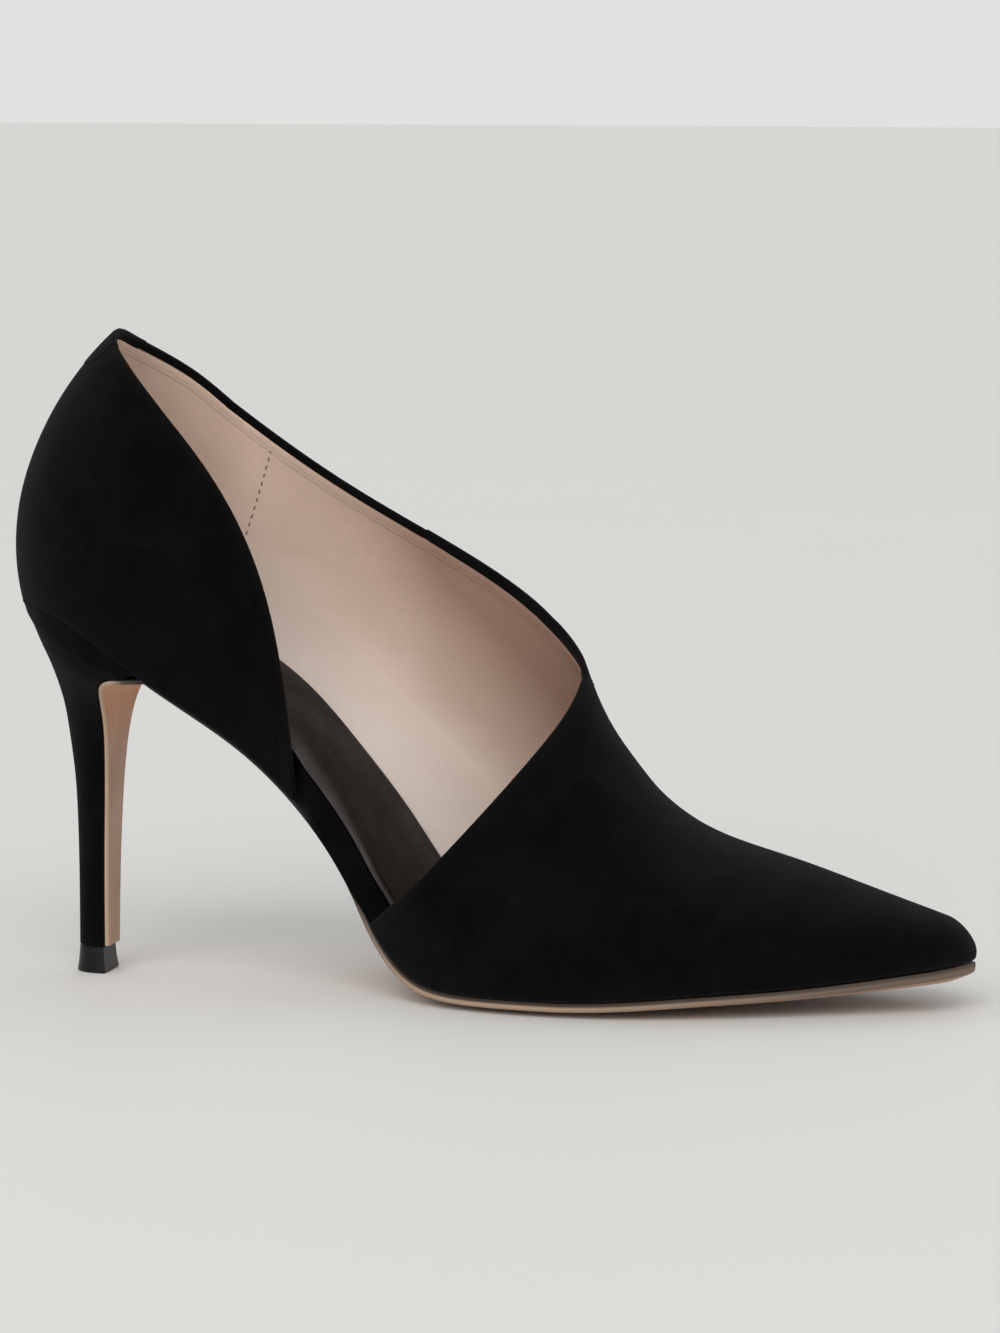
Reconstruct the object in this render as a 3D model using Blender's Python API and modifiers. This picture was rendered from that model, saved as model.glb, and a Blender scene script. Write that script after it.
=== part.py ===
"""Left shoe of a pair of high-heeled pumps, cut away to the sole on its inner (medial) side only.

+X points to the toe, +Y to the outer (lateral) side and +Z up. The origin is on the floor, at the
centre of the heel tip's underside. Lengths are in metres.

The upper, the insole and the soles all come from one last. The last's bottom edge, the feather
line, is an outline in plan with a height from the side view. Ribs rise from that line: each swells
to its widest point and then closes in towards the ridge over the foot. Behind the heel the ribs
fan round a pivot; everywhere else they stand at a distance along the shoe.
"""

import math

import bmesh
import bpy
import numpy as np

# Driving sizes of the last
LENGTH = 0.231  # back of the counter to the toe tip, along the floor
BALL_WIDTH = 0.0753  # feather line, across the ball of the foot
HEEL_HEIGHT = 0.0893  # floor to the feather line at the back
TOE_SPRING = 0.0077  # lift of the sole at the toe tip
INSTEP = 0.080  # girth height of the last's ridge above the feather line, at the throat
COLLAR_HEIGHT = 0.0672  # feather line to the topline at the back, along the rib

# Thicknesses and clearances
WALL = 0.0016  # suede, reinforcement and lining of the upper
GAP = 0.0003  # clearance between pieces that touch
SOLE_EDGE = 0.0020  # leather outsole at its edge, under the forepart
SOLE_WAIST = 0.0011  # leather outsole at its edge, under the waist
SOLE_CROWN = 0.0014  # how much lower the outsole is in the middle than at its edge
SOLE_FLAT = 0.5  # share of the outsole's width that is flat across
SOLE_INSET = 0.0012  # outsole set in from the feather line
BREAST_LEATHER = 0.0011  # outsole leather where it runs down the breast of the heel
BREAST_WIDTH = 0.97  # width of that leather, as a share of the heel's
SOCK = 0.0012  # leather sock on the insole
WALL_SLANT = 1.45  # wall thickness across, where the wall leans out, as a share of WALL
BARE_STEP = 0.0045  # length over which the footbed comes out to the last, at each end of the cut-out

# Heel
SEAT_LENGTH = 0.0365  # back of the last to the front of the heel's seat
STEM_WIDTH = 0.0094  # width of the heel at its lower end
STEM_DEPTH = 0.0071  # depth of the heel at its lower end
STEM_SETBACK = 0.0158  # back of the last to the back of the heel's lower end
TOP_PIECE_HEIGHT = 0.0062
TOP_PIECE_FLARE = 0.0006  # how far the top piece spreads at the floor, each way

# Pivot of the ribs behind the heel, and how the counter swells there
PIVOT = 0.1299 * LENGTH
BACK_SETBACK = 0.0034  # the feather line starts this far in front of the last's rearmost point
SWELL_BACK = 0.0084  # how far the counter swells behind the feather line
SWELL_BACK_HEIGHT = 0.0320
KNEE = 0.30  # share of every rib that lies below its swell

# Waist of the outsole: it has its full form where the heel has risen by WAIST_RISE of its lift, and
# there it is this much narrower, and its crown this much flatter, than under the ball
WAIST_RISE = 0.25
WAIST_NARROWING = 0.12
WAIST_FLATTENING = 0.70
CROWN_FADE = 0.10 * BALL_WIDTH  # half width under which the crown fades out, at the toe

STACK = SOLE_CROWN + SOLE_EDGE + GAP  # feather line above the floor under the ball
TIP = 0.9990 * LENGTH  # feather line's foremost point; the toe overhangs it
NOSE = 0.0110  # length of the rounded end of the toe
ORIGIN_SHIFT = STEM_SETBACK + STEM_DEPTH / 2  # last's rearmost point to the origin

# Rows of the side view: heel rise and toe rise are shares of their lifts, tilt is in degrees
SIDE_COLUMNS = ("along", "heel_rise", "toe_rise", "tilt")
SIDE = (
    (0.0113, 1.000, 0.000, 18.0),
    (0.0650, 0.973, 0.000, 18.0),
    (0.0866, 0.950, 0.000, 18.0),
    (0.1212, 0.890, 0.000, 18.0),
    (0.1602, 0.816, 0.000, 19.2),
    (0.2165, 0.712, 0.000, 23.5),
    (0.2684, 0.606, 0.000, 28.6),
    (0.3203, 0.464, 0.000, 33.4),
    (0.3680, 0.291, 0.000, 37.0),
    (0.4026, 0.143, 0.000, 38.6),
    (0.4372, 0.046, 0.000, 39.2),
    (0.4848, 0.004, 0.000, 38.8),
    (0.5195, 0.000, 0.000, 38.0),
    (0.6060, 0.000, 0.000, 34.2),
    (0.6580, 0.000, 0.060, 31.4),
    (0.7424, 0.000, 0.240, 27.0),
    (0.8355, 0.000, 0.430, 24.4),
    (0.9177, 0.000, 0.690, 24.6),
    (0.9990, 0.000, 1.000, 10.0),
)

# Rows of the feather line in plan, as shares of BALL_WIDTH from the long axis. The first row stands
# behind the pivot, so that the outline runs level into the fan.
PLAN_COLUMNS = ("along", "medial", "lateral")
PLAN = (
    (0.0650, 0.305, 0.305),
    (0.1299, 0.325, 0.325),
    (0.1948, 0.305, 0.308),
    (0.2597, 0.259, 0.283),
    (0.3247, 0.232, 0.276),
    (0.3896, 0.272, 0.332),
    (0.4545, 0.378, 0.432),
    (0.5195, 0.458, 0.491),
    (0.5844, 0.491, 0.509),
    (0.6494, 0.491, 0.487),
    (0.7143, 0.458, 0.429),
    (0.7792, 0.401, 0.353),
    (0.8442, 0.328, 0.271),
    (0.9091, 0.247, 0.185),
    (0.9481, 0.197, 0.131),
    (0.9930, 0.139, 0.073),
)

# Rows of the walls: how far they swell past the feather line, as shares of BALL_WIDTH; the height
# of the swell and of the ridge, as shares of INSTEP; and how square the section is above the swell
WALL_COLUMNS = ("along", "swell_medial", "swell_lateral", "swell_height", "ridge", "fullness")
WALLS = (
    (0.0650, 0.050, 0.050, 0.275, 1.000, 2.0),
    (0.1299, 0.050, 0.050, 0.275, 1.000, 2.0),
    (0.1948, 0.061, 0.058, 0.281, 1.060, 2.0),
    (0.2597, 0.086, 0.077, 0.300, 1.120, 2.0),
    (0.3247, 0.106, 0.086, 0.306, 1.110, 2.0),
    (0.3896, 0.096, 0.080, 0.275, 0.948, 1.9),
    (0.4545, 0.060, 0.056, 0.212, 0.836, 1.9),
    (0.5195, 0.037, 0.040, 0.162, 0.703, 1.9),
    (0.6494, 0.024, 0.029, 0.125, 0.492, 1.9),
    (0.7792, 0.020, 0.024, 0.100, 0.351, 1.9),
    (0.9091, 0.021, 0.024, 0.075, 0.203, 1.9),
    (0.9930, 0.027, 0.027, 0.020, 0.098, 1.9),
)

# Topline of the quarters, as shares of COLLAR_HEIGHT. Behind the pivot, "along" counts the turn, from
# 0 at the back. The row below 0 keeps the line level there. The inner side falls to the sole.
SPLIT = 0.368  # where, along the shoe, the outer quarter's ribs give way to the vamp's rows
QUARTER_COLUMNS = ("along", "height")
LATERAL_TOP = (
    (-0.0325, 0.985),
    (0.0000, 1.000),
    (0.0325, 0.970),
    (0.0650, 0.923),
    (0.0974, 0.886),
    (0.1299, 0.876),
    (0.1948, 0.858),
    (0.2597, 0.872),
    (0.3247, 0.968),
    (0.3680, 1.056),
)
MEDIAL_TOP = (
    (-0.0325, 0.985),
    (0.0000, 1.000),
    (0.0325, 0.978),
    (0.0650, 0.931),
    (0.0974, 0.872),
    (0.1299, 0.830),
    (0.1624, 0.778),
    (0.1948, 0.693),
    (0.2381, 0.514),
    (0.2597, 0.397),
    (0.2814, 0.268),
    (0.3030, 0.125),
    (0.3210, 0.000),
)

# Rear edge of the vamp: girth runs from -1 at the inner feather line, over 0 at the ridge, to 1
# where the edge becomes the topline of the outer quarter
VAMP_COLUMNS = ("girth", "along")
VAMP_EDGE = (
    (-1.00, 0.3980),
    (-0.70, 0.4070),
    (-0.40, 0.4110),
    (-0.15, 0.4070),
    (0.00, 0.4000),
    (0.15, 0.3958),
    (0.50, 0.3865),
    (1.00, 0.3680),
)

# Rows of the heel, from the seat down: its rear and front points in the side view, with heights as
# shares of HEEL_HEIGHT, rear and front as shares of SEAT_LENGTH, and its width as a share of the
# seat's. The last row is the stem's lower end, which STEM_* sizes give.
HEEL_COLUMNS = ("rear", "rear_height", "front", "front_height", "width")
HEEL = (
    (0.120, 0.980, 0.935, 0.8150, 0.985),
    (0.162, 0.955, 0.840, 0.8120, 0.940),
    (0.208, 0.913, 0.757, 0.7970, 0.860),
    (0.260, 0.858, 0.708, 0.7640, 0.700),
    (0.312, 0.788, 0.685, 0.7150, 0.520),
    (0.356, 0.714, 0.674, 0.6620, 0.400),
    (0.386, 0.629, 0.664, 0.6000, 0.325),
    (0.414, 0.530, 0.653, 0.5150, 0.272),
    (0.428, 0.420, 0.643, 0.4150, 0.240),
    (0.434, 0.270, 0.633, 0.2700, 0.216),
)

# Insole thickness above the feather line, along the ribs, as shares of the waist's
INSOLE_WAIST = 0.0100
INSOLE_COLUMNS = ("along", "thickness")
INSOLE = (
    (0.0400, 0.80),
    (0.1500, 1.00),
    (0.2400, 1.20),
    (0.3300, 1.06),
    (0.4100, 0.96),
    (0.4800, 0.62),
    (0.5600, 0.42),
    (0.7500, 0.36),
    (1.0000, 0.36),
)

# How finely the pieces are cut
FAN_RIBS = 14
OUTER_RIBS = 14
INNER_RIBS = 12
QUARTER_ROWS = 10
THROAT_ROWS = 4
VAMP_STATIONS = 16
NOSE_STATIONS = 6
SECTION_POINTS = 9
FOOTBED_STATIONS = 60
SOLE_STATIONS = 48
SEAT_RIBS = 18
FRONT_POINTS = 30
WELD = 0.00002  # points closer than this are one

SUEDE = ("black_suede", (0.012, 0.012, 0.013), 0.95)
SOCK_LEATHER = ("brown_leather", (0.030, 0.021, 0.017), 0.45)
SOLE_LEATHER = ("tan_leather", (0.55, 0.33, 0.20), 0.55)
TIP_PLASTIC = ("black_plastic", (0.020, 0.019, 0.019), 0.50)


def spline(xs, ys):
    """A natural cubic through the points, as a function; past its ends it runs on straight."""
    xs = np.asarray(xs, float)
    ys = np.asarray(ys, float)
    steps = np.diff(xs)
    slopes = np.diff(ys) / steps
    system = np.eye(len(xs))
    right = np.zeros(len(xs))
    for i in range(1, len(xs) - 1):
        system[i, i - 1 : i + 2] = steps[i - 1], 2 * (steps[i - 1] + steps[i]), steps[i]
        right[i] = 6 * (slopes[i] - slopes[i - 1])
    bends = np.linalg.solve(system, right)

    def value(x):
        i = int(np.clip(np.searchsorted(xs, x) - 1, 0, len(steps) - 1))
        inside = min(max(x, xs[0]), xs[-1])
        a = inside - xs[i]
        slope = slopes[i] - steps[i] * (2 * bends[i] + bends[i + 1]) / 6
        growth = (bends[i + 1] - bends[i]) / steps[i]
        end_slope = slope + a * bends[i] + a * a * growth / 2
        level = ys[i] + a * slope + a * a * bends[i] / 2 + a**3 * growth / 6
        return float(level + (x - inside) * end_slope)

    return value


def columns(names, rows, scale=1.0):
    """One spline for each named column after the first, which is multiplied by scale."""
    table = np.array(rows, float)
    return {name: spline(table[:, 0] * scale, table[:, k + 1]) for k, name in enumerate(names[1:])}


side = columns(SIDE_COLUMNS, SIDE, LENGTH)
plan = columns(PLAN_COLUMNS, PLAN, LENGTH)
walls = columns(WALL_COLUMNS, WALLS, LENGTH)
lateral_top = columns(QUARTER_COLUMNS, LATERAL_TOP, LENGTH)
medial_top = columns(QUARTER_COLUMNS, MEDIAL_TOP, LENGTH)
vamp_edge = columns(VAMP_COLUMNS, VAMP_EDGE)
insole = columns(INSOLE_COLUMNS, INSOLE, LENGTH)


def feather_height(x):
    """Height of the feather line above the floor, x metres from the back of the last."""
    rise = max(side["heel_rise"](x), 0.0)
    spring = max(side["toe_rise"](x), 0.0)
    return STACK + (HEEL_HEIGHT - STACK) * rise + TOE_SPRING * spring


def nose_cap(x):
    """1 behind the rounded end of the toe, falling along a quarter circle to 0 at its tip."""
    q = min(max((x - (TIP - NOSE)) / NOSE, 0.0), 1.0)
    return math.sqrt(1 - q * q)


class Rib:
    """One curve of the last, from the feather line (share 0) to the ridge (share 1)."""

    def __init__(self, x, direction, reach, swell, swell_height, ridge, centre, foot_x):
        self.x = x
        self.power = 2 / walls["fullness"](x)
        self.direction = direction
        self.reach = reach
        self.swell = swell
        self.swell_height = swell_height
        self.ridge = ridge
        self.centre = centre
        self.foot_height = feather_height(foot_x)
        self.tilt = math.radians(side["tilt"](x))

    def profile(self, share):
        """Reach and height of the point at that share of the rib."""
        if share <= KNEE:
            rest = 1 - share / KNEE
            return self.reach + self.swell * (1 - rest * rest), self.swell_height * (1 - rest)
        angle = math.pi / 2 * (share - KNEE) / (1 - KNEE)
        height = self.swell_height + (self.ridge - self.swell_height) * math.sin(angle) ** self.power
        return (self.reach + self.swell) * math.cos(angle), height

    def share_at(self, height):
        """The share at which the rib is that high."""
        if height <= self.swell_height:
            return KNEE * height / self.swell_height
        sine = ((height - self.swell_height) / (self.ridge - self.swell_height)) ** (1 / self.power)
        return KNEE + (1 - KNEE) * math.asin(min(sine, 1.0)) * 2 / math.pi

    def place(self, reach, height):
        """World position of a point with that reach from the rib's centre and that height."""
        return (
            self.x - ORIGIN_SHIFT + reach * self.direction[0] + height * math.sin(self.tilt),
            self.centre + reach * self.direction[1],
            self.foot_height + height * math.cos(self.tilt),
        )

    def point(self, share):
        return self.place(*self.profile(share))


def side_rib(x, outer):
    """The rib x metres from the back of the last, on its outer or its inner side."""
    half = BALL_WIDTH * (plan["lateral"](x) + plan["medial"](x)) / 2
    centre = BALL_WIDTH * (plan["lateral"](x) - plan["medial"](x)) / 2
    cap = nose_cap(x)
    swell = BALL_WIDTH * walls["swell_lateral" if outer else "swell_medial"](x)
    swell_height = INSTEP * walls["swell_height"](x)
    ridge = swell_height + (INSTEP * walls["ridge"](x) - swell_height) * cap
    direction = (0.0, 1.0 if outer else -1.0)
    return Rib(x, direction, half * cap, swell * cap, swell_height, ridge, centre, x)


def fan_rib(turn):
    """The rib behind the pivot, at a turn from 0 on the outer side to pi on the inner side."""
    side_of = side_rib(PIVOT, turn < math.pi / 2)
    back = math.sin(turn) ** 2
    length = PIVOT - BACK_SETBACK
    reach = 1 / math.hypot(math.sin(turn) / length, math.cos(turn) / side_of.reach)
    swell = side_of.swell + (SWELL_BACK - side_of.swell) * back
    swell_height = side_of.swell_height + (SWELL_BACK_HEIGHT - side_of.swell_height) * back
    direction = (-math.sin(turn), math.cos(turn))
    foot_x = PIVOT - reach * math.sin(turn)
    return Rib(PIVOT, direction, reach, swell, swell_height, side_of.ridge, side_of.centre, foot_x)


def fan_top(turn):
    """Height of the topline behind the pivot; the table counts the turn as a distance along."""
    quarter = lateral_top if turn < math.pi / 2 else medial_top
    away = abs(turn / (math.pi / 2) - 1)
    return COLLAR_HEIGHT * quarter["height"](PIVOT * away)


def quarter_ribs():
    """(rib, height of its topline) from the split, round the heel, to the inner quarter's front."""
    ribs = []
    for x in np.linspace(SPLIT * LENGTH, PIVOT, OUTER_RIBS, endpoint=False):
        ribs.append((side_rib(x, True), COLLAR_HEIGHT * lateral_top["height"](x)))
    for turn in np.linspace(0, math.pi, FAN_RIBS + 1):
        ribs.append((fan_rib(turn), fan_top(turn)))
    for x in np.linspace(PIVOT, MEDIAL_TOP[-1][0] * LENGTH, INNER_RIBS + 1)[1:]:
        height = COLLAR_HEIGHT * max(medial_top["height"](x), 0.0)
        ribs.append((side_rib(x, False), height))
    return ribs


def quarter_grid():
    """Points of the quarters: a list for each rib, from the feather line up to the topline."""
    grid = []
    for rib, top in quarter_ribs():
        shares = np.linspace(0, rib.share_at(top), QUARTER_ROWS + 1)
        grid.append([rib.point(share) for share in shares])
    return grid


def vamp_rows():
    """(outer side, share of the rib at the rear edge, share at the toe, place of the rear edge)."""
    split = side_rib(SPLIT * LENGTH, True)
    split_share = split.share_at(COLLAR_HEIGHT * lateral_top["height"](SPLIT * LENGTH))
    count = THROAT_ROWS + QUARTER_ROWS
    rows = []
    for share in np.linspace(0, 1, count + 1):
        rows.append((False, share, share, vamp_edge["along"](share - 1)))
    for i in range(1, count + 1):
        if i <= THROAT_ROWS:
            girth = i / THROAT_ROWS
            share = 1 - (1 - split_share) * girth
            rows.append((True, share, 1 - i / count, vamp_edge["along"](girth)))
        else:
            share = split_share * (count - i) / QUARTER_ROWS
            rows.append((True, share, 1 - i / count, SPLIT))
    return rows


def vamp_grid():
    """Points of the vamp: a list for each row, from its rear edge to the toe tip."""
    turns = np.linspace(0, math.pi / 2, NOSE_STATIONS + 1)[1:]
    nose = [TIP - NOSE + NOSE * math.sin(turn) for turn in turns]
    grid = []
    for outer, rear_share, toe_share, start in vamp_rows():
        line = []
        for step in np.linspace(0, 1, VAMP_STATIONS + 1):
            x = start * LENGTH + (TIP - NOSE - start * LENGTH) * step
            line.append(side_rib(x, outer).point(rear_share + (toe_share - rear_share) * step))
        line += [side_rib(x, outer).point(toe_share) for x in nose]
        grid.append(line)
    return grid


def add_grid(mesh, grid, flip):
    """Adds a face for each cell of a grid of points."""
    verts = [[mesh.verts.new(point) for point in line] for line in grid]
    for near, far in zip(verts, verts[1:]):
        for i in range(len(near) - 1):
            ring = [near[i], near[i + 1], far[i + 1], far[i]]
            mesh.faces.new(ring[::-1] if flip else ring)


def material(finish):
    name, colour, roughness = finish
    made = bpy.data.materials.get(name)
    if made is None:
        made = bpy.data.materials.new(name)
        made.use_nodes = True
        shader = made.node_tree.nodes["Principled BSDF"]
        shader.inputs["Base Color"].default_value = (*colour, 1.0)
        shader.inputs["Roughness"].default_value = roughness
    return made


def add_object(name, mesh, finish):
    """Welds the mesh, shades it smooth and adds it to the shoe's collection."""
    bmesh.ops.remove_doubles(mesh, verts=mesh.verts, dist=WELD)
    bmesh.ops.dissolve_degenerate(mesh, edges=mesh.edges, dist=WELD / 10)
    data = bpy.data.meshes.new(name)
    mesh.to_mesh(data)
    mesh.free()
    data.materials.append(material(finish))
    data.shade_smooth()
    made = bpy.data.objects.new(name, data)
    shoe.objects.link(made)
    return made


def add_loft(name, rings, finish):
    """A closed solid through rings of points, with its first and last ring filled."""
    mesh = bmesh.new()
    loops = [[mesh.verts.new(point) for point in ring] for ring in rings]
    count = len(loops[0])
    for near, far in zip(loops, loops[1:]):
        for i in range(count):
            mesh.faces.new((near[i], near[(i + 1) % count], far[(i + 1) % count], far[i]))
    mesh.faces.new(loops[0][::-1])
    mesh.faces.new(loops[-1])
    bmesh.ops.remove_doubles(mesh, verts=mesh.verts, dist=WELD)
    bmesh.ops.recalc_face_normals(mesh, faces=mesh.faces)
    return add_object(name, mesh, finish)


def make_upper():
    """The suede upper: quarters and vamp in one wall, open at the collar and the inner waist."""
    mesh = bmesh.new()
    add_grid(mesh, quarter_grid(), flip=True)
    add_grid(mesh, vamp_grid(), flip=False)
    upper = add_object("upper", mesh, SUEDE)
    wall = upper.modifiers.new("wall", "SOLIDIFY")
    wall.thickness = WALL
    wall.offset = -1
    wall.use_even_offset = True
    return upper


def insole_thickness(x):
    return INSOLE_WAIST * insole["thickness"](x)


def quarter_front(height):
    """How far along the shoe the inner quarter's front edge is, at that height."""
    along = np.linspace(MEDIAL_TOP[-1][0], MEDIAL_TOP[-4][0], FRONT_POINTS) * LENGTH
    heights = [COLLAR_HEIGHT * medial_top["height"](x) for x in along]
    return float(np.interp(height, heights, along))


def bareness(rib, height):
    """1 where the cut-out leaves the footbed's inner side bare, 0 where the upper covers it."""
    vamp_rear = LENGTH * vamp_edge["along"](rib.share_at(height) - 1)
    bare = 1.0
    for inside in (rib.x - quarter_front(height), vamp_rear - rib.x):
        step = min(max(inside / BARE_STEP, 0.0), 1.0)
        bare *= step * step * (3 - 2 * step)
    return bare


def footbed_ring(medial, lateral, low, high, tip_share=0.0):
    """A closed ring of points across the footbed, between two heights above the feather line.

    It lies inside the upper's wall, or reaches the last's surface where the cut-out leaves it bare.
    Round the toe the inset turns from sideways to backward.
    """
    ring = []
    for height in (low, high):
        ends = []
        for rib in (medial, lateral):
            covered = 1 - bareness(rib, height) if rib is medial else 1.0
            inset = WALL_SLANT * WALL * covered + GAP
            reach, _ = rib.profile(rib.share_at(height))
            x, y, z = rib.place(reach - inset * math.sqrt(1 - tip_share**2), height)
            ends.append(np.array((x - inset * tip_share, y, z)))
        line = [tuple(ends[0] + (ends[1] - ends[0]) * k) for k in np.linspace(0, 1, SECTION_POINTS)]
        ring += line if height == low else line[::-1]
    return ring


def footbed_rings(low_of, high_of):
    """Rings from the back of the heel to the toe; behind the pivot they cross the fan."""
    rings = []
    for turn in np.linspace(math.pi / 2, 0, FAN_RIBS // 2 + 1)[:-1]:
        outer = fan_rib(turn)
        inner = fan_rib(math.pi - turn)
        rings.append(footbed_ring(inner, outer, low_of(PIVOT), high_of(PIVOT)))
    for x in np.linspace(PIVOT, TIP - NOSE, FOOTBED_STATIONS):
        ring = footbed_ring(side_rib(x, False), side_rib(x, True), low_of(x), high_of(x))
        rings.append(ring)
    for turn in np.linspace(0, math.pi / 2, NOSE_STATIONS + 1)[1:-1]:
        x = TIP - NOSE + NOSE * math.sin(turn)
        ribs = side_rib(x, False), side_rib(x, True)
        rings.append(footbed_ring(*ribs, low_of(x), high_of(x), math.sin(turn)))
    return rings


def make_footbed():
    """The insole board with its wrapped edge, and the leather sock that lies on it."""
    def board_top(x):
        return insole_thickness(x) - SOCK - GAP

    add_loft("insole", footbed_rings(lambda x: 0.0, board_top), SUEDE)
    add_loft("sock", footbed_rings(lambda x: board_top(x) + GAP, insole_thickness), SOCK_LEATHER)


def heel_rows():
    """(rear x, rear z, front x, front z, half width) from below the seat to the stem's end."""
    seat_half = side_rib(PIVOT, True).reach
    rows = []
    for rear, rear_height, front, front_height, width in HEEL:
        rows.append(
            (
                rear * SEAT_LENGTH,
                rear_height * HEEL_HEIGHT,
                front * SEAT_LENGTH,
                front_height * HEEL_HEIGHT,
                width * seat_half,
            )
        )
    foot = TOP_PIECE_HEIGHT + GAP
    rows.append((STEM_SETBACK, foot, STEM_SETBACK + STEM_DEPTH, foot, STEM_WIDTH / 2))
    return rows


def feather_point(x, outer):
    """World position of the feather line, x metres from the back of the last."""
    rib = side_rib(max(x, PIVOT), outer)
    back = max(PIVOT - x, 0.0) / (PIVOT - BACK_SETBACK)
    reach = rib.reach * math.sqrt(max(1 - back * back, 0.0))
    return (x - ORIGIN_SHIFT, rib.centre + reach * rib.direction[1], feather_height(x))


def seat_outline():
    """Points of the heel's seat, from its outer front corner round the back to the inner one."""
    turns = np.linspace(0, math.pi / 2, SEAT_RIBS // 2 + 1)
    line = [BACK_SETBACK + (SEAT_LENGTH - BACK_SETBACK) * (1 - math.sin(turn)) for turn in turns]
    outer = [feather_point(x, True) for x in line]
    inner = [feather_point(x, False) for x in line[:-1]]
    return outer + inner[::-1]


def heel_ring(rear, rear_z, front, front_z, half):
    """The seat's outline squeezed between a rear and a front point and to a half width."""
    seat_half = side_rib(PIVOT, True).reach
    ring = []
    for x, y, _ in seat_outline():
        share = (x + ORIGIN_SHIFT - BACK_SETBACK) / (SEAT_LENGTH - BACK_SETBACK)
        ring.append(
            (
                rear + (front - rear) * share - ORIGIN_SHIFT,
                y * half / seat_half,
                rear_z + (front_z - rear_z) * share,
            )
        )
    return ring


def make_heel():
    """The covered stiletto heel, and the top piece that it stands on."""
    seat = [(x, y, z - GAP) for x, y, z in seat_outline()]
    add_loft("heel", [seat] + [heel_ring(*row) for row in heel_rows()], SUEDE)
    stem = heel_rows()[-1]
    flare = TOP_PIECE_FLARE
    upper_ring = heel_ring(stem[0], TOP_PIECE_HEIGHT, stem[2], TOP_PIECE_HEIGHT, stem[4])
    floor_ring = heel_ring(stem[0] - flare, 0.0, stem[2] + flare, 0.0, stem[4] + flare)
    add_loft("top_piece", [upper_ring, floor_ring], TIP_PLASTIC)


def sole_path():
    """(x, z, half width, thickness, crown, centre) along the outsole's upper face, toe to heel tip."""
    path = []
    turns = np.linspace(math.pi / 2, 0, NOSE_STATIONS + 1)[:-1]
    stations = [TIP - NOSE + NOSE * math.sin(turn) for turn in turns]
    stations += list(np.linspace(TIP - NOSE, SEAT_LENGTH, SOLE_STATIONS)[:-1])
    for x in stations:
        rib = side_rib(x, True)
        waist = min(max(side["heel_rise"](x), 0.0) / WAIST_RISE, 1.0)
        half = max(rib.reach * (1 - WAIST_NARROWING * waist) - SOLE_INSET, 0.0)
        crown = SOLE_CROWN * (1 - WAIST_FLATTENING * waist) * min(half / CROWN_FADE, 1.0)
        thickness = SOLE_EDGE + (SOLE_WAIST - SOLE_EDGE) * waist
        path.append((x, feather_height(x), half, thickness, crown, rib.centre))
    for _, _, front, front_z, half in heel_rows():
        path.append((front, front_z, BREAST_WIDTH * half, BREAST_LEATHER, 0.0, 0.0))
    return path


def make_outsole():
    """The leather outsole, which runs on from the waist down the breast of the heel."""
    path = sole_path()
    spine = np.array([(x, z) for x, z, *_ in path])
    steps = np.gradient(spine, axis=0)
    steps /= np.linalg.norm(steps, axis=1)[:, None]
    rings = []
    for (x, z, half, thickness, crown, centre), (dx, dz) in zip(path, steps):
        down = np.array([-dz, dx])
        ring = []
        for face in (1, -1):
            for k in np.linspace(-1, 1, SECTION_POINTS)[::face]:
                depth = GAP
                if face < 0:
                    bow = max(abs(k) - SOLE_FLAT, 0.0) / (1 - SOLE_FLAT)
                    depth += thickness + crown * (1 - bow * bow)
                px, pz = np.array([x, z]) + down * depth
                ring.append((px - ORIGIN_SHIFT, centre + k * half, pz))
        rings.append(ring)
    add_loft("outsole", rings, SOLE_LEATHER)


for old in list(bpy.data.objects):
    bpy.data.objects.remove(old)
shoe = bpy.data.collections.new("pump")
bpy.context.scene.collection.children.link(shoe)

make_upper()
make_footbed()
make_outsole()
make_heel()
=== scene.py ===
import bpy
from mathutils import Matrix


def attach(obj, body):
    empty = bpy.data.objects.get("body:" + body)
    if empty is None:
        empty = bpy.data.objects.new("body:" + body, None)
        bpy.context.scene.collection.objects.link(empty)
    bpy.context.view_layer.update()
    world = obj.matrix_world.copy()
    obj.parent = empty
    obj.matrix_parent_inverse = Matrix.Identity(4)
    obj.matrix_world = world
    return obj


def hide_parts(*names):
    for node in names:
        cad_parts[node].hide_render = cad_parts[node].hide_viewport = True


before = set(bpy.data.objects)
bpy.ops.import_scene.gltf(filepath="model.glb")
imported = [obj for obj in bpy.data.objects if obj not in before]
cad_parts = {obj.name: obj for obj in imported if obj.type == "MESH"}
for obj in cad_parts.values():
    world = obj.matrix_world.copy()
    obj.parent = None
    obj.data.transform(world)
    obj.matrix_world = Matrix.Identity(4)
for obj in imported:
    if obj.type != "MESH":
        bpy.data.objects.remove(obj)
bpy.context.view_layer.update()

# Looks of a left pump in black suede, cut away to the sole on its inner (medial) side.
# The last's rows and functions are the ones that shaped the solids, so each dressed piece lies
# where its solid is: +X to the toe, +Y to the outer side, +Z up, the origin under the heel tip.
# Lengths are in metres.

import math

import bmesh
import bpy
import numpy as np
from mathutils import Vector, kdtree
from mathutils.bvhtree import BVHTree

# Driving sizes of the last
LENGTH = 0.231
BALL_WIDTH = 0.0753
HEEL_HEIGHT = 0.0893
TOE_SPRING = 0.0077
INSTEP = 0.080
COLLAR_HEIGHT = 0.0672

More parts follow.
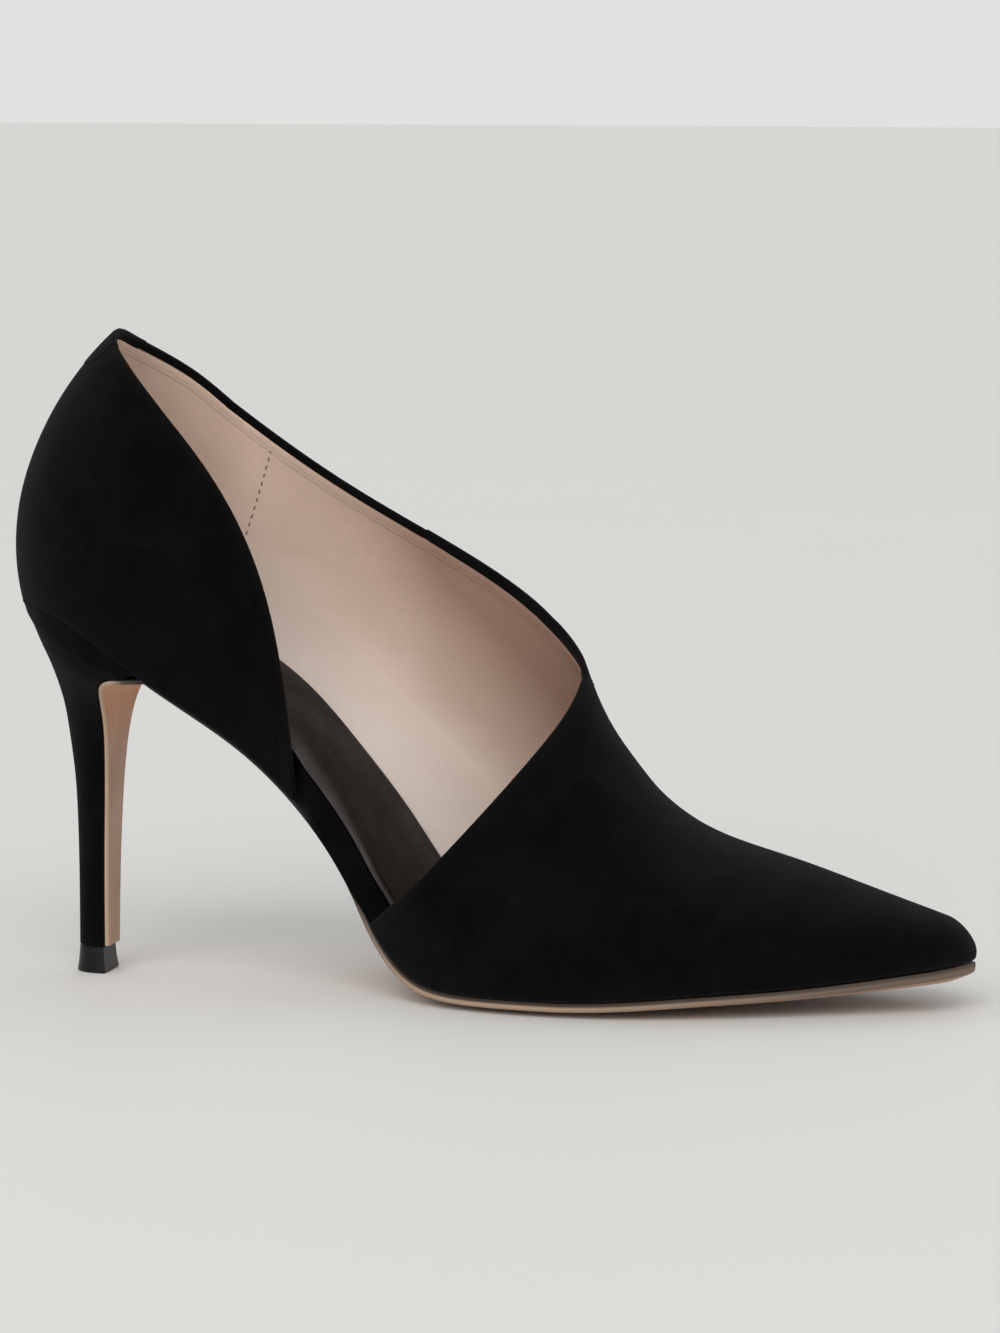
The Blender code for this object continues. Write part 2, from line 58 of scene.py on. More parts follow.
# Thicknesses and clearances
WALL = 0.0016  # suede and lining together
GAP = 0.0003  # between pieces that lie on each other
SOLE_EDGE = 0.0020  # thickness of the outsole's edge in the forepart
SOLE_WAIST = 0.0011  # and under the waist
SOLE_CROWN = 0.0014  # how much thicker the outsole is along its middle
SOLE_FLAT = 0.5  # share of its half width that lies flat on the floor
SOLE_INSET = 0.0012  # its edge lies this far inside the feather line
BREAST_LEATHER = 0.0011  # thickness of the leather down the breast of the heel
BREAST_WIDTH = 0.97  # its width, as a share of the heel's
SOCK = 0.0012
WALL_SLANT = 1.45  # the wall leans, so level with the footbed it is this much thicker
BARE_STEP = 0.0045  # the footbed comes out to the last's surface over this length

# Heel
SEAT_LENGTH = 0.0365
STEM_WIDTH = 0.0094
STEM_DEPTH = 0.0071
STEM_SETBACK = 0.0158  # from the back of the last to the back of the stem
TOP_PIECE_HEIGHT = 0.0062
TOP_PIECE_FLARE = 0.0006  # the top piece grows by this much on each side, down to the floor

PIVOT = 0.1299 * LENGTH  # behind this place the ribs fan out round the heel
BACK_SETBACK = 0.0034  # the feather line starts this far in front of the last's back
SWELL_BACK = 0.0084  # how far the counter bulges at the back
SWELL_BACK_HEIGHT = 0.0320  # height of that bulge above the feather line
KNEE = 0.30  # share of a rib at which it reaches its greatest width
WAIST_RISE = 0.25  # share of the heel's rise at which the waist has its full form
WAIST_NARROWING = 0.12
WAIST_FLATTENING = 0.70
CROWN_FADE = 0.10 * BALL_WIDTH
STACK = SOLE_CROWN + SOLE_EDGE + GAP  # height of the feather line under the ball
TIP = 0.9990 * LENGTH
NOSE = 0.0110  # length of the toe's rounded end
ORIGIN_SHIFT = STEM_SETBACK + STEM_DEPTH / 2  # from the back of the last to the origin

# The feather line in the side view, and the lean of the ribs in degrees
SIDE_COLUMNS = ("along", "heel_rise", "toe_rise", "tilt")
SIDE = (
    (0.0113, 1.000, 0.000, 18.0),
    (0.0650, 0.973, 0.000, 18.0),
    (0.0866, 0.950, 0.000, 18.0),
    (0.1212, 0.890, 0.000, 18.0),
    (0.1602, 0.816, 0.000, 19.2),
    (0.2165, 0.712, 0.000, 23.5),
    (0.2684, 0.606, 0.000, 28.6),
    (0.3203, 0.464, 0.000, 33.4),
    (0.3680, 0.291, 0.000, 37.0),
    (0.4026, 0.143, 0.000, 38.6),
    (0.4372, 0.046, 0.000, 39.2),
    (0.4848, 0.004, 0.000, 38.8),
    (0.5195, 0.000, 0.000, 38.0),
    (0.6060, 0.000, 0.000, 34.2),
    (0.6580, 0.000, 0.060, 31.4),
    (0.7424, 0.000, 0.240, 27.0),
    (0.8355, 0.000, 0.430, 24.4),
    (0.9177, 0.000, 0.690, 24.6),
    (0.9990, 0.000, 1.000, 10.0),
)
# Half widths of the last at the feather line, in shares of BALL_WIDTH
PLAN_COLUMNS = ("along", "medial", "lateral")
PLAN = (
    (0.0650, 0.305, 0.305),
    (0.1299, 0.325, 0.325),
    (0.1948, 0.305, 0.308),
    (0.2597, 0.259, 0.283),
    (0.3247, 0.232, 0.276),
    (0.3896, 0.272, 0.332),
    (0.4545, 0.378, 0.432),
    (0.5195, 0.458, 0.491),
    (0.5844, 0.491, 0.509),
    (0.6494, 0.491, 0.487),
    (0.7143, 0.458, 0.429),
    (0.7792, 0.401, 0.353),
    (0.8442, 0.328, 0.271),
    (0.9091, 0.247, 0.185),
    (0.9481, 0.197, 0.131),
    (0.9930, 0.139, 0.073),
)
# The walls above it: swell in shares of BALL_WIDTH, heights in shares of INSTEP
WALL_COLUMNS = ("along", "swell_medial", "swell_lateral", "swell_height", "ridge", "fullness")
WALLS = (
    (0.0650, 0.050, 0.050, 0.275, 1.000, 2.0),
    (0.1299, 0.050, 0.050, 0.275, 1.000, 2.0),
    (0.1948, 0.061, 0.058, 0.281, 1.060, 2.0),
    (0.2597, 0.086, 0.077, 0.300, 1.120, 2.0),
    (0.3247, 0.106, 0.086, 0.306, 1.110, 2.0),
    (0.3896, 0.096, 0.080, 0.275, 0.948, 1.9),
    (0.4545, 0.060, 0.056, 0.212, 0.836, 1.9),
    (0.5195, 0.037, 0.040, 0.162, 0.703, 1.9),
    (0.6494, 0.024, 0.029, 0.125, 0.492, 1.9),
    (0.7792, 0.020, 0.024, 0.100, 0.351, 1.9),
    (0.9091, 0.021, 0.024, 0.075, 0.203, 1.9),
    (0.9930, 0.027, 0.027, 0.020, 0.098, 1.9),
)
SPLIT = 0.368  # on the outer side the vamp's rear edge starts here, as a share of LENGTH
# The topline of the quarters, in shares of COLLAR_HEIGHT
QUARTER_COLUMNS = ("along", "height")
LATERAL_TOP = (
    (-0.0325, 0.985),
    (0.0000, 1.000),
    (0.0325, 0.970),
    (0.0650, 0.923),
    (0.0974, 0.886),
    (0.1299, 0.876),
    (0.1948, 0.858),
    (0.2597, 0.872),
    (0.3247, 0.968),
    (0.3680, 1.056),
)
MEDIAL_TOP = (
    (-0.0325, 0.985),
    (0.0000, 1.000),
    (0.0325, 0.978),
    (0.0650, 0.931),
    (0.0974, 0.872),
    (0.1299, 0.830),
    (0.1624, 0.778),
    (0.1948, 0.693),
    (0.2381, 0.514),
    (0.2597, 0.397),
    (0.2814, 0.268),
    (0.3030, 0.125),
    (0.3210, 0.000),
)
# The vamp's rear edge, from the sole on the inner side over the ridge to the outer side
VAMP_COLUMNS = ("girth", "along")
VAMP_EDGE = (
    (-1.00, 0.3980),
    (-0.70, 0.4070),
    (-0.40, 0.4110),
    (-0.15, 0.4070),
    (0.00, 0.4000),
    (0.15, 0.3958),
    (0.50, 0.3865),
    (1.00, 0.3680),
)
# The covered heel from its seat down; HEEL_NAMES gives the columns, in shares of its sizes
HEEL = (
    (0.120, 0.980, 0.935, 0.8150, 0.985),
    (0.162, 0.955, 0.840, 0.8120, 0.940),
    (0.208, 0.913, 0.757, 0.7970, 0.860),
    (0.260, 0.858, 0.708, 0.7640, 0.700),
    (0.312, 0.788, 0.685, 0.7150, 0.520),
    (0.356, 0.714, 0.674, 0.6620, 0.400),
    (0.386, 0.629, 0.664, 0.6000, 0.325),
    (0.414, 0.530, 0.653, 0.5150, 0.272),
    (0.428, 0.420, 0.643, 0.4150, 0.240),
    (0.434, 0.270, 0.633, 0.2700, 0.216),
)
INSOLE_WAIST = 0.0100
# Thickness of insole and sock together, in shares of INSOLE_WAIST
INSOLE_COLUMNS = ("along", "thickness")
INSOLE = (
    (0.0400, 0.80),
    (0.1500, 1.00),
    (0.2400, 1.20),
    (0.3300, 1.06),
    (0.4100, 0.96),
    (0.4800, 0.62),
    (0.5600, 0.42),
    (0.7500, 0.36),
    (1.0000, 0.36),
)

# How the suede is made up
SEAM = 0.285 * LENGTH  # the vamp's outer wing ends here and lies on the quarter
EDGE = WALL / 2  # radius of a folded edge; the surfaces stop this far short of the topline
LASTING = 0.0008  # radius with which the suede turns under at the feather line
SUEDE_INSIDE = -0.0009  # inner face of the suede, from the last's outer surface
LINING_OUTSIDE = -0.0010  # the lining's two faces, likewise
LINING_INSIDE = -0.00155
QUARTER_FOLD = 0.0010  # width of the folded edge inside the collar
VAMP_FOLD = 0.0017  # the same at the throat
FOLD_START = 0.077  # the fold widens from here, along the shoe
FOLD_GROWTH = 0.016
TAB_FOLD = 0.0026  # the heel tab reaches this far down inside
WING_LIFT = 0.00035  # how far the vamp's wing stands proud of the quarter
WING_FADE = 0.022  # length over which that lift fades into the vamp
LINING_SEAM = 0.169 * LENGTH  # where the lining is pieced on the outer side
HEEL_LIP = 0.0006  # the heel cover's rim stands up round the lasted edge
STITCH_IN = 0.0022  # stitch rows lie this far from an edge
EDGE_FOOT = 0.006  # paths along the vamp's rear edge start this far up from the sole
# The lining beside its folded edge: reach down from the fold, height above the lining
BAND_PROFILE = (
    (0.0, 0.0),
    (0.0001, 0.00022),
    (0.0008, 0.00026),
    (0.0016, 0.00024),
    (0.0021, 0.00012),
    (0.0023, 0.0),
)
# The heel cover's rim, from its outer side inwards: inset, share of the lip's height
HEEL_LIP_PROFILE = ((0.0, 0.6), (0.00005, 1.0), (0.00015, 1.0), (0.0006, 0.0))
HEEL_LIP_FADE = 0.006  # the lip sinks to nothing over this length before the breast

# How finely the pieces are cut
FAN_RIBS = 56
OUTER_RIBS = 56
INNER_RIBS = 64
WING_RIBS = 14
QUARTER_ROWS = 36  # up a rib of the quarter
THROAT_ROWS = 16  # across the throat on the outer side
VAMP_STATIONS = 70
NOSE_STATIONS = 16
BED_STATIONS = 130
BED_POINTS = 32
FRONT_POINTS = 30
SOLE_STATIONS = 96
BREAST_STATIONS = 40
SOLE_POINTS = 28
HEEL_RINGS = 70
SEAT_RIBS = 56
WELD = 0.00002  # points nearer than this are one


def spline(xs, ys):
    """A natural cubic through the points, as a function; past its ends it runs on straight."""
    xs = np.asarray(xs, float)
    ys = np.asarray(ys, float)
    steps = np.diff(xs)
    slopes = np.diff(ys) / steps
    system = np.eye(len(xs))
    right = np.zeros(len(xs))
    for i in range(1, len(xs) - 1):
        system[i, i - 1 : i + 2] = steps[i - 1], 2 * (steps[i - 1] + steps[i]), steps[i]
        right[i] = 6 * (slopes[i] - slopes[i - 1])
    bends = np.linalg.solve(system, right)

    def value(x):
        i = int(np.clip(np.searchsorted(xs, x) - 1, 0, len(steps) - 1))
        inside = min(max(x, xs[0]), xs[-1])
        a = inside - xs[i]
        slope = slopes[i] - steps[i] * (2 * bends[i] + bends[i + 1]) / 6
        growth = (bends[i + 1] - bends[i]) / steps[i]
        end_slope = slope + a * bends[i] + a * a * growth / 2
        level = ys[i] + a * slope + a * a * bends[i] / 2 + a**3 * growth / 6
        return float(level + (x - inside) * end_slope)

    return value


def columns(names, rows, scale=1.0):
    """One spline for each named column after the first, which is multiplied by scale."""
    table = np.array(rows, float)
    return {name: spline(table[:, 0] * scale, table[:, k + 1]) for k, name in enumerate(names[1:])}


side = columns(SIDE_COLUMNS, SIDE, LENGTH)
plan = columns(PLAN_COLUMNS, PLAN, LENGTH)
walls = columns(WALL_COLUMNS, WALLS, LENGTH)
lateral_top = columns(QUARTER_COLUMNS, LATERAL_TOP, LENGTH)["height"]
medial_top = columns(QUARTER_COLUMNS, MEDIAL_TOP, LENGTH)["height"]
vamp_edge = columns(VAMP_COLUMNS, VAMP_EDGE)["along"]
insole = columns(INSOLE_COLUMNS, INSOLE, LENGTH)["thickness"]


def smooth(share):
    """0 to 1 with level ends."""
    share = min(max(share, 0.0), 1.0)
    return share * share * (3 - 2 * share)


def feather_height(x):
    """Height of the feather line above the floor, x metres from the back of the last."""
    rise = max(side["heel_rise"](x), 0.0)
    spring = max(side["toe_rise"](x), 0.0)
    return STACK + (HEEL_HEIGHT - STACK) * rise + TOE_SPRING * spring


def nose_cap(x):
    """1 behind the rounded end of the toe, falling along a quarter circle to 0 at its tip."""
    q = min(max((x - (TIP - NOSE)) / NOSE, 0.0), 1.0)
    return math.sqrt(1 - q * q)


class Rib:
    """One curve of the last, from the feather line (share 0) to the ridge (share 1)."""

    def __init__(self, x, direction, reach, swell, swell_height, ridge, centre, foot_x, beside):
        self.x = x
        self.power = 2 / walls["fullness"](x)
        self.direction = direction
        self.reach = reach
        self.swell = swell
        self.swell_height = swell_height
        self.ridge = ridge
        self.centre = centre
        self.foot_height = feather_height(foot_x)
        self.tilt = math.radians(side["tilt"](x))
        self.beside = beside  # gives the rib that stands a step further on

    def profile(self, share):
        """Reach and height of the point at that share of the rib."""
        if share <= KNEE:
            rest = 1 - share / KNEE
            return self.reach + self.swell * (1 - rest * rest), self.swell_height * (1 - rest)
        angle = math.pi / 2 * (share - KNEE) / (1 - KNEE)
        height = self.swell_height + (self.ridge - self.swell_height) * math.sin(angle) ** self.power
        return (self.reach + self.swell) * math.cos(angle), height

    def share_at(self, height):
        """The share at which the rib is that high."""
        if height <= self.swell_height:
            return KNEE * height / self.swell_height
        sine = ((height - self.swell_height) / (self.ridge - self.swell_height)) ** (1 / self.power)
        return KNEE + (1 - KNEE) * math.asin(min(sine, 1.0)) * 2 / math.pi

    def place(self, reach, height):
        """Position of a point with that reach from the rib's centre and that height."""
        return (
            self.x - ORIGIN_SHIFT + reach * self.direction[0] + height * math.sin(self.tilt),
            self.centre + reach * self.direction[1],
            self.foot_height + height * math.cos(self.tilt),
        )

    def point(self, share):
        return self.place(*self.profile(share))

    def lifted(self, share, lift):
        """The point at that share, moved out along the last's surface normal."""
        step = 0.0004
        near, far = self.beside(-step), self.beside(step)
        along = np.subtract(far.point(share), near.point(share))
        up = np.subtract(self.point(min(share + 0.01, 1.0)), self.point(max(share - 0.01, 0.0)))
        normal = np.cross(along, up)
        outward = (1 - share) * np.array((*self.direction, 0.0))
        outward += share * np.array((math.sin(self.tilt), 0.0, math.cos(self.tilt)))
        normal *= lift * np.sign(normal @ outward) / np.linalg.norm(normal)
        return np.array(self.point(share)) + normal


def side_rib(x, outer):
    """The rib x metres from the back of the last, on its outer or its inner side."""
    half = BALL_WIDTH * (plan["lateral"](x) + plan["medial"](x)) / 2
    centre = BALL_WIDTH * (plan["lateral"](x) - plan["medial"](x)) / 2
    cap = nose_cap(x)
    swell = BALL_WIDTH * walls["swell_lateral" if outer else "swell_medial"](x)
    swell_height = INSTEP * walls["swell_height"](x)
    ridge = swell_height + (INSTEP * walls["ridge"](x) - swell_height) * cap
    direction = (0.0, 1.0 if outer else -1.0)

    def beside(step):
        return side_rib(x + step, outer)

    return Rib(x, direction, half * cap, swell * cap, swell_height, ridge, centre, x, beside)


def fan_rib(turn):
    """The rib behind the pivot, at a turn from 0 on the outer side to pi on the inner side."""
    side_of = side_rib(PIVOT, turn < math.pi / 2)
    back = math.sin(turn) ** 2
    length = PIVOT - BACK_SETBACK
    reach = 1 / math.hypot(math.sin(turn) / length, math.cos(turn) / side_of.reach)
    swell = side_of.swell + (SWELL_BACK - side_of.swell) * back
    swell_height = side_of.swell_height + (SWELL_BACK_HEIGHT - side_of.swell_height) * back
    direction = (-math.sin(turn), math.cos(turn))
    foot_x = PIVOT - reach * math.sin(turn)

    def beside(step):
        return fan_rib(turn + step / PIVOT)

    ridge, centre = side_of.ridge, side_of.centre
    return Rib(PIVOT, direction, reach, swell, swell_height, ridge, centre, foot_x, beside)


# Toplines and edges, each with a drop: how far it is set in from the real edge

def top_height(quarter, along, drop):
    """Height of the topline at a place of the quarter's row, set in by drop square to the line."""
    step = 0.0005
    slope = COLLAR_HEIGHT * (quarter(along + step) - quarter(along - step)) / (2 * step)
    return COLLAR_HEIGHT * quarter(along) - drop * math.hypot(1, slope)


def fan_top(turn, drop):
    """The same behind the pivot, where the row counts the turn as a distance."""
    quarter = lateral_top if turn < math.pi / 2 else medial_top
    return top_height(quarter, PIVOT * abs(turn / (math.pi / 2) - 1), drop)


def inner_front(drop, foot):
    """Where, along the shoe, the inner quarter's edge has come down to the height foot."""
    low, high = MEDIAL_TOP[-5][0] * LENGTH, MEDIAL_TOP[-1][0] * LENGTH
    for _ in range(40):
        middle = (low + high) / 2
        if top_height(medial_top, middle, drop) > foot:
            low = middle
        else:
            high = middle
    return low


def quarter_ribs(start, drop, foot):
    """(rib, share at its foot, share at the topline) from start on the outer side round the heel."""
    ribs = []
    for x in np.linspace(start, PIVOT, OUTER_RIBS, endpoint=False):
        ribs.append((side_rib(x, True), top_height(lateral_top, x, drop)))
    for turn in np.linspace(0, math.pi, FAN_RIBS + 1):
        ribs.append((fan_rib(turn), fan_top(turn, drop)))
    for x in np.linspace(PIVOT, inner_front(drop, foot), INNER_RIBS + 1)[1:]:
        ribs.append((side_rib(x, False), top_height(medial_top, x, drop)))
    return [(rib, rib.share_at(foot), rib.share_at(max(top, foot))) for rib, top in ribs]


def rib_grid(ribs):
    """Points of (rib, low share, high share), a line for each rib."""
    return [[rib.point(s) for s in np.linspace(low, high, QUARTER_ROWS + 1)] for rib, low, high in ribs]


def wing_grid(drop, foot):
    """Points of the vamp's wing on the outer side, from its seam to the split."""
    ribs = []
    for x in np.linspace(SEAM, SPLIT * LENGTH, WING_RIBS):
        rib = side_rib(x, True)
        ribs.append((rib, rib.share_at(foot), rib.share_at(top_height(lateral_top, x, drop))))
    return rib_grid(ribs)


def vamp_rows(drop, foot):
    """(outer side, height share at the rear edge, at the toe, place of the rear edge) of each row."""
    split = side_rib(SPLIT * LENGTH, True)
    low = split.share_at(foot)
    high = split.share_at(top_height(lateral_top, SPLIT * LENGTH, drop))
    split_share = (high - low) / (1 - low)
    count = THROAT_ROWS + QUARTER_ROWS
    rows = []
    for share in np.linspace(0, 1, count + 1):
        rows.append((False, share, share, LENGTH * vamp_edge(share - 1) + drop))
    for i in range(1, count + 1):
        if i <= THROAT_ROWS:
            girth = i / THROAT_ROWS
            start = LENGTH * vamp_edge(girth) + drop * (1 - girth**3)
            rows.append((True, 1 - (1 - split_share) * girth, 1 - i / count, start))
        else:
            share = split_share * (count - i) / QUARTER_ROWS
            rows.append((True, share, 1 - i / count, SPLIT * LENGTH))
    return rows


def vamp_grid(drop, foot, nose_stations):
    """Points of the vamp: a line for each row, from its rear edge to the toe."""
    turns = [math.pi / 2 * k / NOSE_STATIONS for k in range(1, nose_stations + 1)]
    nose = [TIP - NOSE + NOSE * math.sin(turn) for turn in turns]
    grid = []
    for outer, rear, toe, start in vamp_rows(drop, foot):
        steps = np.linspace(0, 1, VAMP_STATIONS + 1)
        stops = [(start + (TIP - NOSE - start) * step, rear + (toe - rear) * step) for step in steps]
        line = []
        for x, share in stops + [(x, toe) for x in nose]:
            rib = side_rib(x, outer)
            low = rib.share_at(foot)
            line.append(rib.point(low + (1 - low) * share))
        grid.append(line)
    return grid


# Skins: surfaces on the last that are made solid

RANK = {"rim": 3, "feather": 2, "overlay": 1, "plain": 0}


class Skin:
    """A surface welded from grids of points, which knows what each of its free edges is."""

    def __init__(self):
        self.points = []
        self.faces = []
        self.kinds = {}

    def add(self, grid, first=None, last=None, low=None, high=None, flip=False):
        """Adds a grid; first, last, low and high name the kind of its four sides, where free."""
        base = len(self.points)
        width = len(grid[0])
        for line in grid:
            self.points += [tuple(point) for point in line]
        index = np.arange(len(grid) * width).reshape(len(grid), width) + base
        for near, far in zip(index, index[1:]):
            for i in range(width - 1):
                ring = (near[i], near[i + 1], far[i + 1], far[i])
                self.faces.append(ring[::-1] if flip else ring)
        sides = ((first, index[0]), (last, index[-1]), (low, index[:, 0]), (high, index[:, -1]))
        for kind, line in sides:
            if kind:
                for v in line:
                    self.mark(v, kind)

    def mark(self, v, kind):
        if RANK[kind] >= RANK[self.kinds.get(v, "plain")]:
            self.kinds[v] = kind

    def weld(self):
        """Merges points that coincide, and keeps the faces that are left."""
        tree = kdtree.KDTree(len(self.points))
        for i, point in enumerate(self.points):
            tree.insert(point, i)
        tree.balance()
        owner = [min(j for _, j, _ in tree.find_range(point, WELD)) for point in self.points]
        kept = sorted(set(owner))
        new = {old: k for k, old in enumerate(kept)}
        place = [new[owner[j]] for j in owner]
        faces = []
        for ring in self.faces:
            ring = tuple(dict.fromkeys(place[v] for v in ring))
            if len(ring) > 2:
                faces.append(ring)
        kinds = self.kinds
        self.kinds = {}
        for v, kind in kinds.items():
            self.mark(place[v], kind)
        self.points = np.array([self.points[old] for old in kept])
        self.faces = faces
        return self


def arc(radius, centre, angles):
    """Points (out, lift) on a circle about (0, centre); the angle starts at the outer face."""
    turns = [math.radians(angle) for angle in angles]
    return [(radius * math.sin(turn), centre + radius * math.cos(turn)) for turn in turns]


def folded_edge(fold_at, inside):
    """Profile of an edge that is turned over and glued down on the inner side."""
    def profile(top, _, point):
        fold = fold_at(point)
        radius, centre = (top - inside) / 2, (top + inside) / 2
        turned = arc(radius, centre, (20, 45, 70, 95, 120, 150))
        return turned + [(-fold / 2, inside), (-fold, inside), (-fold, inside + 0.0003)]
    return profile


def lasted_edge(top, bottom, _):
    """Profile of the suede where it turns under the shoe."""
    turned = arc(LASTING, top - LASTING, (15, 30, 45, 60, 75, 90))
    return turned + [(LASTING, bottom + 0.00005), (LASTING * 0.7, bottom), (LASTING * 0.35, bottom)]


def overlay_edge(top, bottom, _):
    """Profile of the wing's edge, which lies on the quarter."""
    radius = 0.00028
    turned = arc(radius, top - radius, (20, 45, 70, 90))
    foot = [(radius, 0.00004), (0.00015, 0.0), (0.0, 0.0)]
    return turned + foot + [(0.0, bottom / 3), (0.0, bottom * 2 / 3)]


def plain_edge(top, bottom, _):
    """Profile of an edge that stays hidden, or of thin leather that is cut square."""
    return [(0.0, top + (bottom - top) * (k + 1) / 10) for k in range(9)]


def thick(skin, outer, inner, profiles):
    """Points, faces and edge shares of the solid between two offsets of a skin."""
    points = skin.points
    normals = np.zeros_like(points)
    for ring in skin.faces:
        corners = points[list(ring)]
        normal = np.cross(corners[1] - corners[0], corners[2] - corners[0])
        if len(ring) == 4:
            normal = normal + np.cross(corners[2] - corners[0], corners[3] - corners[0])
        normals[list(ring)] += normal
    normals /= np.linalg.norm(normals, axis=1)[:, None]
    outer = np.broadcast_to(np.asarray(outer, float), len(points))

    directed = {(ring[i], ring[(i + 1) % len(ring)]) for ring in skin.faces for i in range(len(ring))}
    free = [(a, b) for a, b in directed if (b, a) not in directed]
    outwards = {}
    for a, b in free:
        step = points[b] - points[a]
        for v in (a, b):
            out = np.cross(step, normals[v])
            outwards.setdefault(v, []).append(out / max(np.linalg.norm(out), 1e-9))

    solid = list(points + normals * outer[:, None]) + list(points + normals * inner)
    faces = [tuple(ring) for ring in skin.faces]
    faces += [tuple(v + len(points) for v in reversed(ring)) for ring in skin.faces]
    shares = np.zeros(2 * len(points)).tolist()
    rings = {}
    for v, outs in outwards.items():
        out = np.sum(outs, axis=0)
        out *= min(2 / max(out @ out, 1e-9), 1.0) if len(outs) > 1 else 1.0
        profile = profiles[skin.kinds.get(v, "plain")](outer[v], inner, points[v])
        rings[v] = [v]
        for reach, lift in profile:
            rings[v].append(len(solid))
            solid.append(points[v] + out * reach + normals[v] * lift)
            shares.append(1.0)
        rings[v].append(v + len(points))
        shares[v] = 1.0
    for a, b in free:
        for k in range(len(rings[a]) - 1):
            faces.append((rings[b][k], rings[a][k], rings[a][k + 1], rings[b][k + 1]))
    return np.array(solid), faces, shares


def finish_piece(name, points, faces, material, slot, nodes=(), edge=(), waist=(), sharp=50.0):
    """Makes one piece of the shoe: its mesh, material, body and the solids it stands for.

    edge and waist are shares for each point, which the materials read.
    """
    mesh = bmesh.new()
    layers = [mesh.verts.layers.float.new(label) for label in ("edge", "waist")]
    verts = [mesh.verts.new(point) for point in points]
    for layer, shares in zip(layers, (edge, waist)):
        for vert, share in zip(verts, shares):
            vert[layer] = share
    for ring in faces:
        if len(set(ring)) > 2:
            try:
                mesh.faces.new([verts[v] for v in dict.fromkeys(ring)])
            except ValueError:
                continue
    bmesh.ops.remove_doubles(mesh, verts=mesh.verts, dist=1e-6)
    bmesh.ops.dissolve_degenerate(mesh, edges=mesh.edges, dist=1e-7)
    data = bpy.data.meshes.new(name)
    mesh.to_mesh(data)
    mesh.free()
    data.materials.append(material)
    data.shade_smooth()
    data.set_sharp_from_angle(angle=math.radians(sharp))
    return dress(place_object(name, data), slot, nodes)


def place_object(name, data):
    made = bpy.data.objects.new(name, data)
    bpy.context.scene.collection.objects.link(made)
    return made


def dress(piece, slot, nodes=()):
    """Says what the piece rides on and which solids it stands for; slot is not used."""
    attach(piece, "root")
    if nodes:
        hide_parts(*nodes)
    return piece


def finish_skin(name, solid, material):
    """Makes a piece of the upper from what thick gives."""
    points, faces, shares = solid
    finish_piece(name, points, faces, material, "upper", ["upper"], shares)


# The upper

def make_quarters(material):
    """Outer, back and inner quarter in one piece of suede."""
    skin = Skin()
    grid = rib_grid(quarter_ribs(SEAM, EDGE, LASTING))
    skin.add(grid, first="plain", last="rim", low="feather", high="rim", flip=True)
    skin.weld()
    rim = folded_edge(lambda point: QUARTER_FOLD, -WALL)
    profiles = {"rim": rim, "feather": lasted_edge, "plain": plain_edge}
    finish_skin("quarters", thick(skin, 0.0, SUEDE_INSIDE, profiles), material)


def vamp_fold(point):
    """Width of the vamp's folded edge: it widens from the seam to the throat."""
    x, y, _ = point
    wide = smooth((x - FOLD_START) / FOLD_GROWTH) * smooth((y + 0.016) / 0.012)
    return QUARTER_FOLD + (VAMP_FOLD - QUARTER_FOLD) * wide


def make_vamp(material):
    """The vamp, with the wing that lies on the outer quarter."""
    skin = Skin()
    skin.add(wing_grid(EDGE, LASTING), first="overlay", low="feather", high="rim")
    grid = vamp_grid(EDGE, LASTING, NOSE_STATIONS)
    skin.add(grid, first="feather", last="feather")
    line = len(grid[0])
    base = len(skin.points) - len(grid) * line
    for row in range(THROAT_ROWS + QUARTER_ROWS + THROAT_ROWS + 1):
        skin.mark(base + row * line, "rim")
    skin.weld()
    lifts = []
    for x, y, z in skin.points:
        past = (x - (SEAM - ORIGIN_SHIFT)) / WING_FADE - z * 0.62 / WING_FADE
        lifts.append(WING_LIFT * (1 - smooth(past)) if y > 0 else 0.0)
    rim = folded_edge(vamp_fold, -WALL - 0.00003)
    profiles = {"rim": rim, "feather": lasted_edge, "overlay": overlay_edge, "plain": plain_edge}
    finish_skin("vamp", thick(skin, lifts, SUEDE_INSIDE, profiles), material)


def make_lining(material):
    """The leather lining, inside quarters and vamp, up to their folded edges; gives its surface."""
    drop = EDGE + QUARTER_FOLD + 0.00005
    foot = 0.0015
    skin = Skin()
    ribs = quarter_ribs(SPLIT * LENGTH, drop, foot)
    skin.add(rib_grid(ribs), low="plain", high="plain", flip=True)
    skin.add(vamp_grid(drop, foot, 0))
    skin.weld()
    solid = thick(skin, LINING_OUTSIDE, LINING_INSIDE, {"plain": plain_edge})
    finish_skin("lining", solid, material)
    return BVHTree.FromPolygons([Vector(point) for point in solid[0]], [list(ring) for ring in solid[1]])


def lining_band_path(drop):
    """Points down the lining's edge, from the inner quarter's foot round the heel to the throat."""
    points = [rib.point(high) for rib, _, high in quarter_ribs(SPLIT * LENGTH, drop, 0.010)][::-1]
    for outer, share, _, start in vamp_rows(drop, EDGE_FOOT)[: QUARTER_ROWS + 2 * THROAT_ROWS][::-1]:
        rib = side_rib(start, outer)
        low = rib.share_at(EDGE_FOOT)
        points.append(rib.point(low + (1 - low) * share))
    return points


